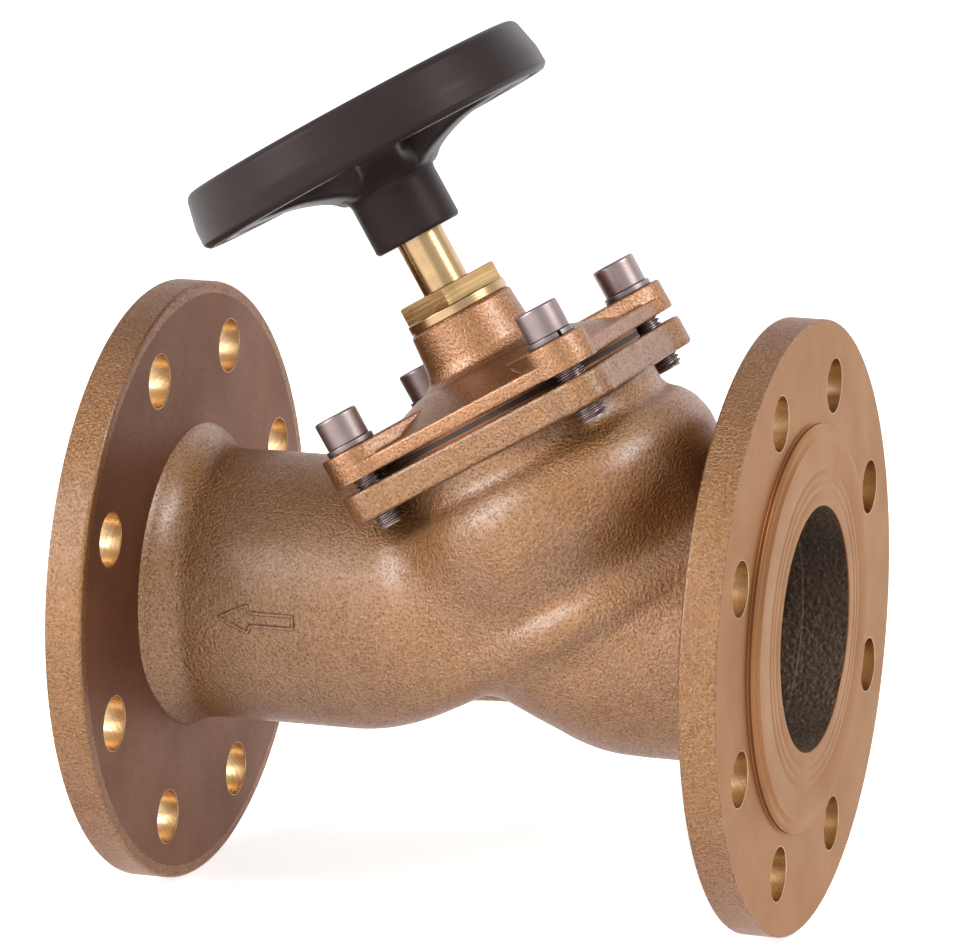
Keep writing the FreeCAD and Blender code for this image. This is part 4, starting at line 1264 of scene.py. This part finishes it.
def finishes(context):
    """All finishes by name, made the first time they are asked for."""
    if not FINISHES:
        FINISHES.update(build_materials(context.scene.valve_settings))
    return FINISHES


class VALVE_OT_body(bpy.types.Operator):
    """Cast body with both flanges and the bonnet flange"""

    bl_idname = "valve.body"
    bl_label = "Body"

    def execute(self, context):
        columns = context.scene.valve_settings.skin_columns
        make_piece("cast_body", body_shells(finishes(context), columns), "valve_body",
                   ["body"])
        return {"FINISHED"}


class VALVE_OT_arrow(bpy.types.Operator):
    """Raised flow arrow on the body's side"""

    bl_idname = "valve.arrow"
    bl_label = "Flow arrow"

    def execute(self, context):
        arrow = arrow_shell(finishes(context)["cast"], context.scene.valve_settings.arrow_steps)
        make_piece("flow_arrow", [arrow], "valve_body", sharp=60)
        return {"FINISHED"}


class VALVE_OT_bonnet(bpy.types.Operator):
    """Square bonnet with pads, dome and neck"""

    bl_idname = "valve.bonnet"
    bl_label = "Bonnet"

    def execute(self, context):
        finish = finishes(context)
        make_piece("square_bonnet", bonnet_shells(finish["cover"], finish["shaded smooth cast"]),
                   "valve_body", ["bonnet"], sharp=40)
        return {"FINISHED"}


class VALVE_OT_screws(bpy.types.Operator):
    """Four socket-head cap screws with their thread"""

    bl_idname = "valve.screws"
    bl_label = "Bonnet screws"

    def execute(self, context):
        for k in range(SCREWS):
            make_piece(f"cap_screw_{k + 1}", bonnet_screw(k, finishes(context)["steel"]),
                       "valve_body", ["bonnet_screws"])
        return {"FINISHED"}


class VALVE_OT_washers(bpy.types.Operator):
    """Four split spring washers"""

    bl_idname = "valve.washers"
    bl_label = "Spring washers"

    def execute(self, context):
        for k in range(SCREWS):
            make_piece(f"split_washer_{k + 1}", [split_washer(k, finishes(context)["spring"])],
                       "valve_body", ["spring_washers"])
        return {"FINISHED"}


class VALVE_OT_gland(bpy.types.Operator):
    """Gland nut with its milled flats"""

    bl_idname = "valve.gland"
    bl_label = "Gland nut"

    def execute(self, context):
        finish = finishes(context)
        make_piece("gland_nut_piece", gland_shells(finish["brass"], finish["milled"]), "valve_body",
                   ["gland_nut"])
        return {"FINISHED"}


class VALVE_OT_stem(bpy.types.Operator):
    """Rising stem with its thread"""

    bl_idname = "valve.stem"
    bl_label = "Stem"

    def execute(self, context):
        make_piece("threaded_stem", stem_shells(finishes(context)["brass"]), "stem_group",
                   ["stem"])
        return {"FINISHED"}


class VALVE_OT_handwheel(bpy.types.Operator):
    """Five-spoke handwheel"""

    bl_idname = "valve.handwheel"
    bl_label = "Handwheel"

    def execute(self, context):
        make_piece("spoked_handwheel", handwheel_shells(finishes(context)["plastic"]), "stem_group",
                   ["handwheel"], sharp=40)
        return {"FINISHED"}


class VALVE_OT_wheel_fasteners(bpy.types.Operator):
    """Screw and washer that hold the handwheel"""

    bl_idname = "valve.wheel_fasteners"
    bl_label = "Handwheel fasteners"

    def execute(self, context):
        finish = finishes(context)
        make_piece("wheel_screw", wheel_screw_shells(finish["steel"]), "stem_group",
                   ["handwheel_screw"])
        make_piece("wheel_washer", [wheel_washer_shell(finish["spring"])], "stem_group",
                   ["handwheel_washer"])
        return {"FINISHED"}


class VALVE_OT_inner_parts(bpy.types.Operator):
    """Finishes of the pieces inside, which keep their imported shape"""

    bl_idname = "valve.inner_parts"
    bl_label = "Inner parts"

    def execute(self, context):
        for name, nodes in INNER_FINISHES.items():
            for node in nodes:
                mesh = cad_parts[node].data
                mesh.materials.clear()
                mesh.materials.append(finishes(context)[name])
        return {"FINISHED"}


def area_light(name, azimuth, elevation, away, size, power):
    """Soft rectangular light at a bearing round the valve, turned to face its middle.

    The azimuth in degrees starts at the front, -Y, and grows towards +X.
    """
    light = bpy.data.lights.new(name, "AREA")
    light.shape = "RECTANGLE"
    light.size, light.size_y = size
    light.energy = power
    lamp = bpy.data.objects.new(name, light)
    bearing, height = math.radians(azimuth), math.radians(elevation)
    middle_x, middle_y, middle_z = -0.12, 0.0, 0.05
    lamp.location = (
        middle_x + away * math.sin(bearing) * math.cos(height),
        middle_y - away * math.cos(bearing) * math.cos(height),
        middle_z + away * math.sin(height),
    )
    lamp.rotation_euler = (math.pi / 2 - height, 0.0, bearing)
    bpy.context.scene.collection.objects.link(lamp)


def background_rays(tree):
    """1 for the rays that show the white background: camera, glossy and transmission."""
    path = tree.nodes.new("ShaderNodeLightPath").outputs
    shine = arithmetic(tree, "ADD", path["Is Glossy Ray"], path["Is Transmission Ray"])
    return arithmetic(tree, "ADD", path["Is Camera Ray"], shine, clamp=True)


def pale_floor(half, lift):
    """Square floor just under the flanges, lit a little for the rays that see it."""
    mesh = bpy.data.meshes.new("floor")
    low = -0.1002
    corners = [(-half, -half, low), (half, -half, low), (half, half, low), (-half, half, low)]
    mesh.from_pydata(corners, [], [(0, 1, 2, 3)])
    paper, tree, shader, place = new_material("pale floor", 0.0, 0.9)
    cloud = wire(tree, "TexNoise", {}, Vector=place, Scale=3.0, Detail=2.0).outputs[0]
    tone = blend_colour(tree, cloud, (0.93, 0.93, 0.93), (0.95, 0.95, 0.95))
    feed(tree, shader.inputs["Base Color"], tone)
    shader.inputs["Emission Color"].default_value = opaque((1, 1, 1))
    glow = arithmetic(tree, "MULTIPLY", background_rays(tree), lift)
    feed(tree, shader.inputs["Emission Strength"], glow)
    mesh.materials.append(paper)
    return bpy.data.objects.new("floor", mesh)


def studio_world(surround):
    """World that is white as a background and dim as a light."""
    world = bpy.data.worlds.new("studio")
    world.use_nodes = True
    tree = world.node_tree
    white = wire(tree, "Background", {}, Color=(1, 1, 1), Strength=1.0)
    dim = wire(tree, "Background", {}, Color=(1.0, 0.985, 0.97), Strength=surround)
    mix = wire(tree, "MixShader", {}, i0=background_rays(tree), i1=dim.outputs[0], i2=white.outputs[0])
    tree.links.new(mix.outputs[0], tree.nodes["World Output"].inputs["Surface"])
    return world


def studio_camera():
    """Long lens to the right of the front, a little above the valve."""
    lens = bpy.data.cameras.new("camera")
    lens.lens = 217.12
    lens.sensor_width = 36.0
    lens.clip_end = 20.0
    camera = bpy.data.objects.new("camera", lens)
    camera.location = (0.500655, -1.741131, 0.467800)
    camera.rotation_euler = tuple(math.radians(v) for v in (77.07710407, 0.33491055, 19.38201005))
    return camera


class VALVE_OT_stage(bpy.types.Operator):
    """Pale floor, soft lights, white surround and the camera"""

    bl_idname = "valve.stage"
    bl_label = "Stage"

    def execute(self, context):
        scene, settings = context.scene, context.scene.valve_stage
        floor = pale_floor(settings.backdrop_size, settings.lift)
        scene.collection.objects.link(floor)
        scene.world = studio_world(settings.surround)
        for name, azimuth, elevation, away, size, share in (
            ("key", -46, 20, 2.0, (1.2, 1.2), 1.16),
            ("upper right", 78, 44, 2.0, (0.8, 0.8), 0.78),
            ("front fill", 0, 2, 2.4, (1.4, 0.6), 0.1),
            ("back", 160, 18, 2.2, (1.8, 1.2), 0.16),
        ):
            area_light(name, azimuth, elevation, away, size, share * settings.key_power)
        scene.camera = studio_camera()
        scene.collection.objects.link(scene.camera)
        scene.view_settings.view_transform = "Standard"
        return {"FINISHED"}


STEPS = (
    VALVE_OT_body, VALVE_OT_arrow, VALVE_OT_bonnet, VALVE_OT_screws, VALVE_OT_washers,
    VALVE_OT_gland, VALVE_OT_stem, VALVE_OT_handwheel, VALVE_OT_wheel_fasteners,
    VALVE_OT_inner_parts, VALVE_OT_stage,
)


class VALVE_PT_panel(bpy.types.Panel):
    """Lists the settings and one button for each step"""

    bl_idname = "VALVE_PT_panel"
    bl_label = "Oblique globe valve"
    bl_space_type = "VIEW_3D"
    bl_region_type = "UI"
    bl_category = "Valve"

    def draw(self, context):
        """Settings first, then the steps in order."""
        for kind, settings in ((ValveSettings, context.scene.valve_settings),
                               (StageSettings, context.scene.valve_stage)):
            for key in kind.__annotations__:
                self.layout.prop(settings, key)
        for step in STEPS:
            self.layout.operator(step.bl_idname)


CLASSES = (ValveSettings, StageSettings, *STEPS, VALVE_PT_panel)


def register():
    """Add the classes and the scene's settings."""
    for cls in CLASSES:
        bpy.utils.register_class(cls)
    bpy.types.Scene.valve_settings = bpy.props.PointerProperty(type=ValveSettings)
    bpy.types.Scene.valve_stage = bpy.props.PointerProperty(type=StageSettings)


def unregister():
    """Take them away again."""
    del bpy.types.Scene.valve_settings, bpy.types.Scene.valve_stage
    for cls in reversed(CLASSES):
        bpy.utils.unregister_class(cls)


def main():
    """Build everything in order."""
    register()
    for step in STEPS:
        group, name = step.bl_idname.split(".")
        getattr(getattr(bpy.ops, group), name)()


if __name__ == "__main__":
    main()
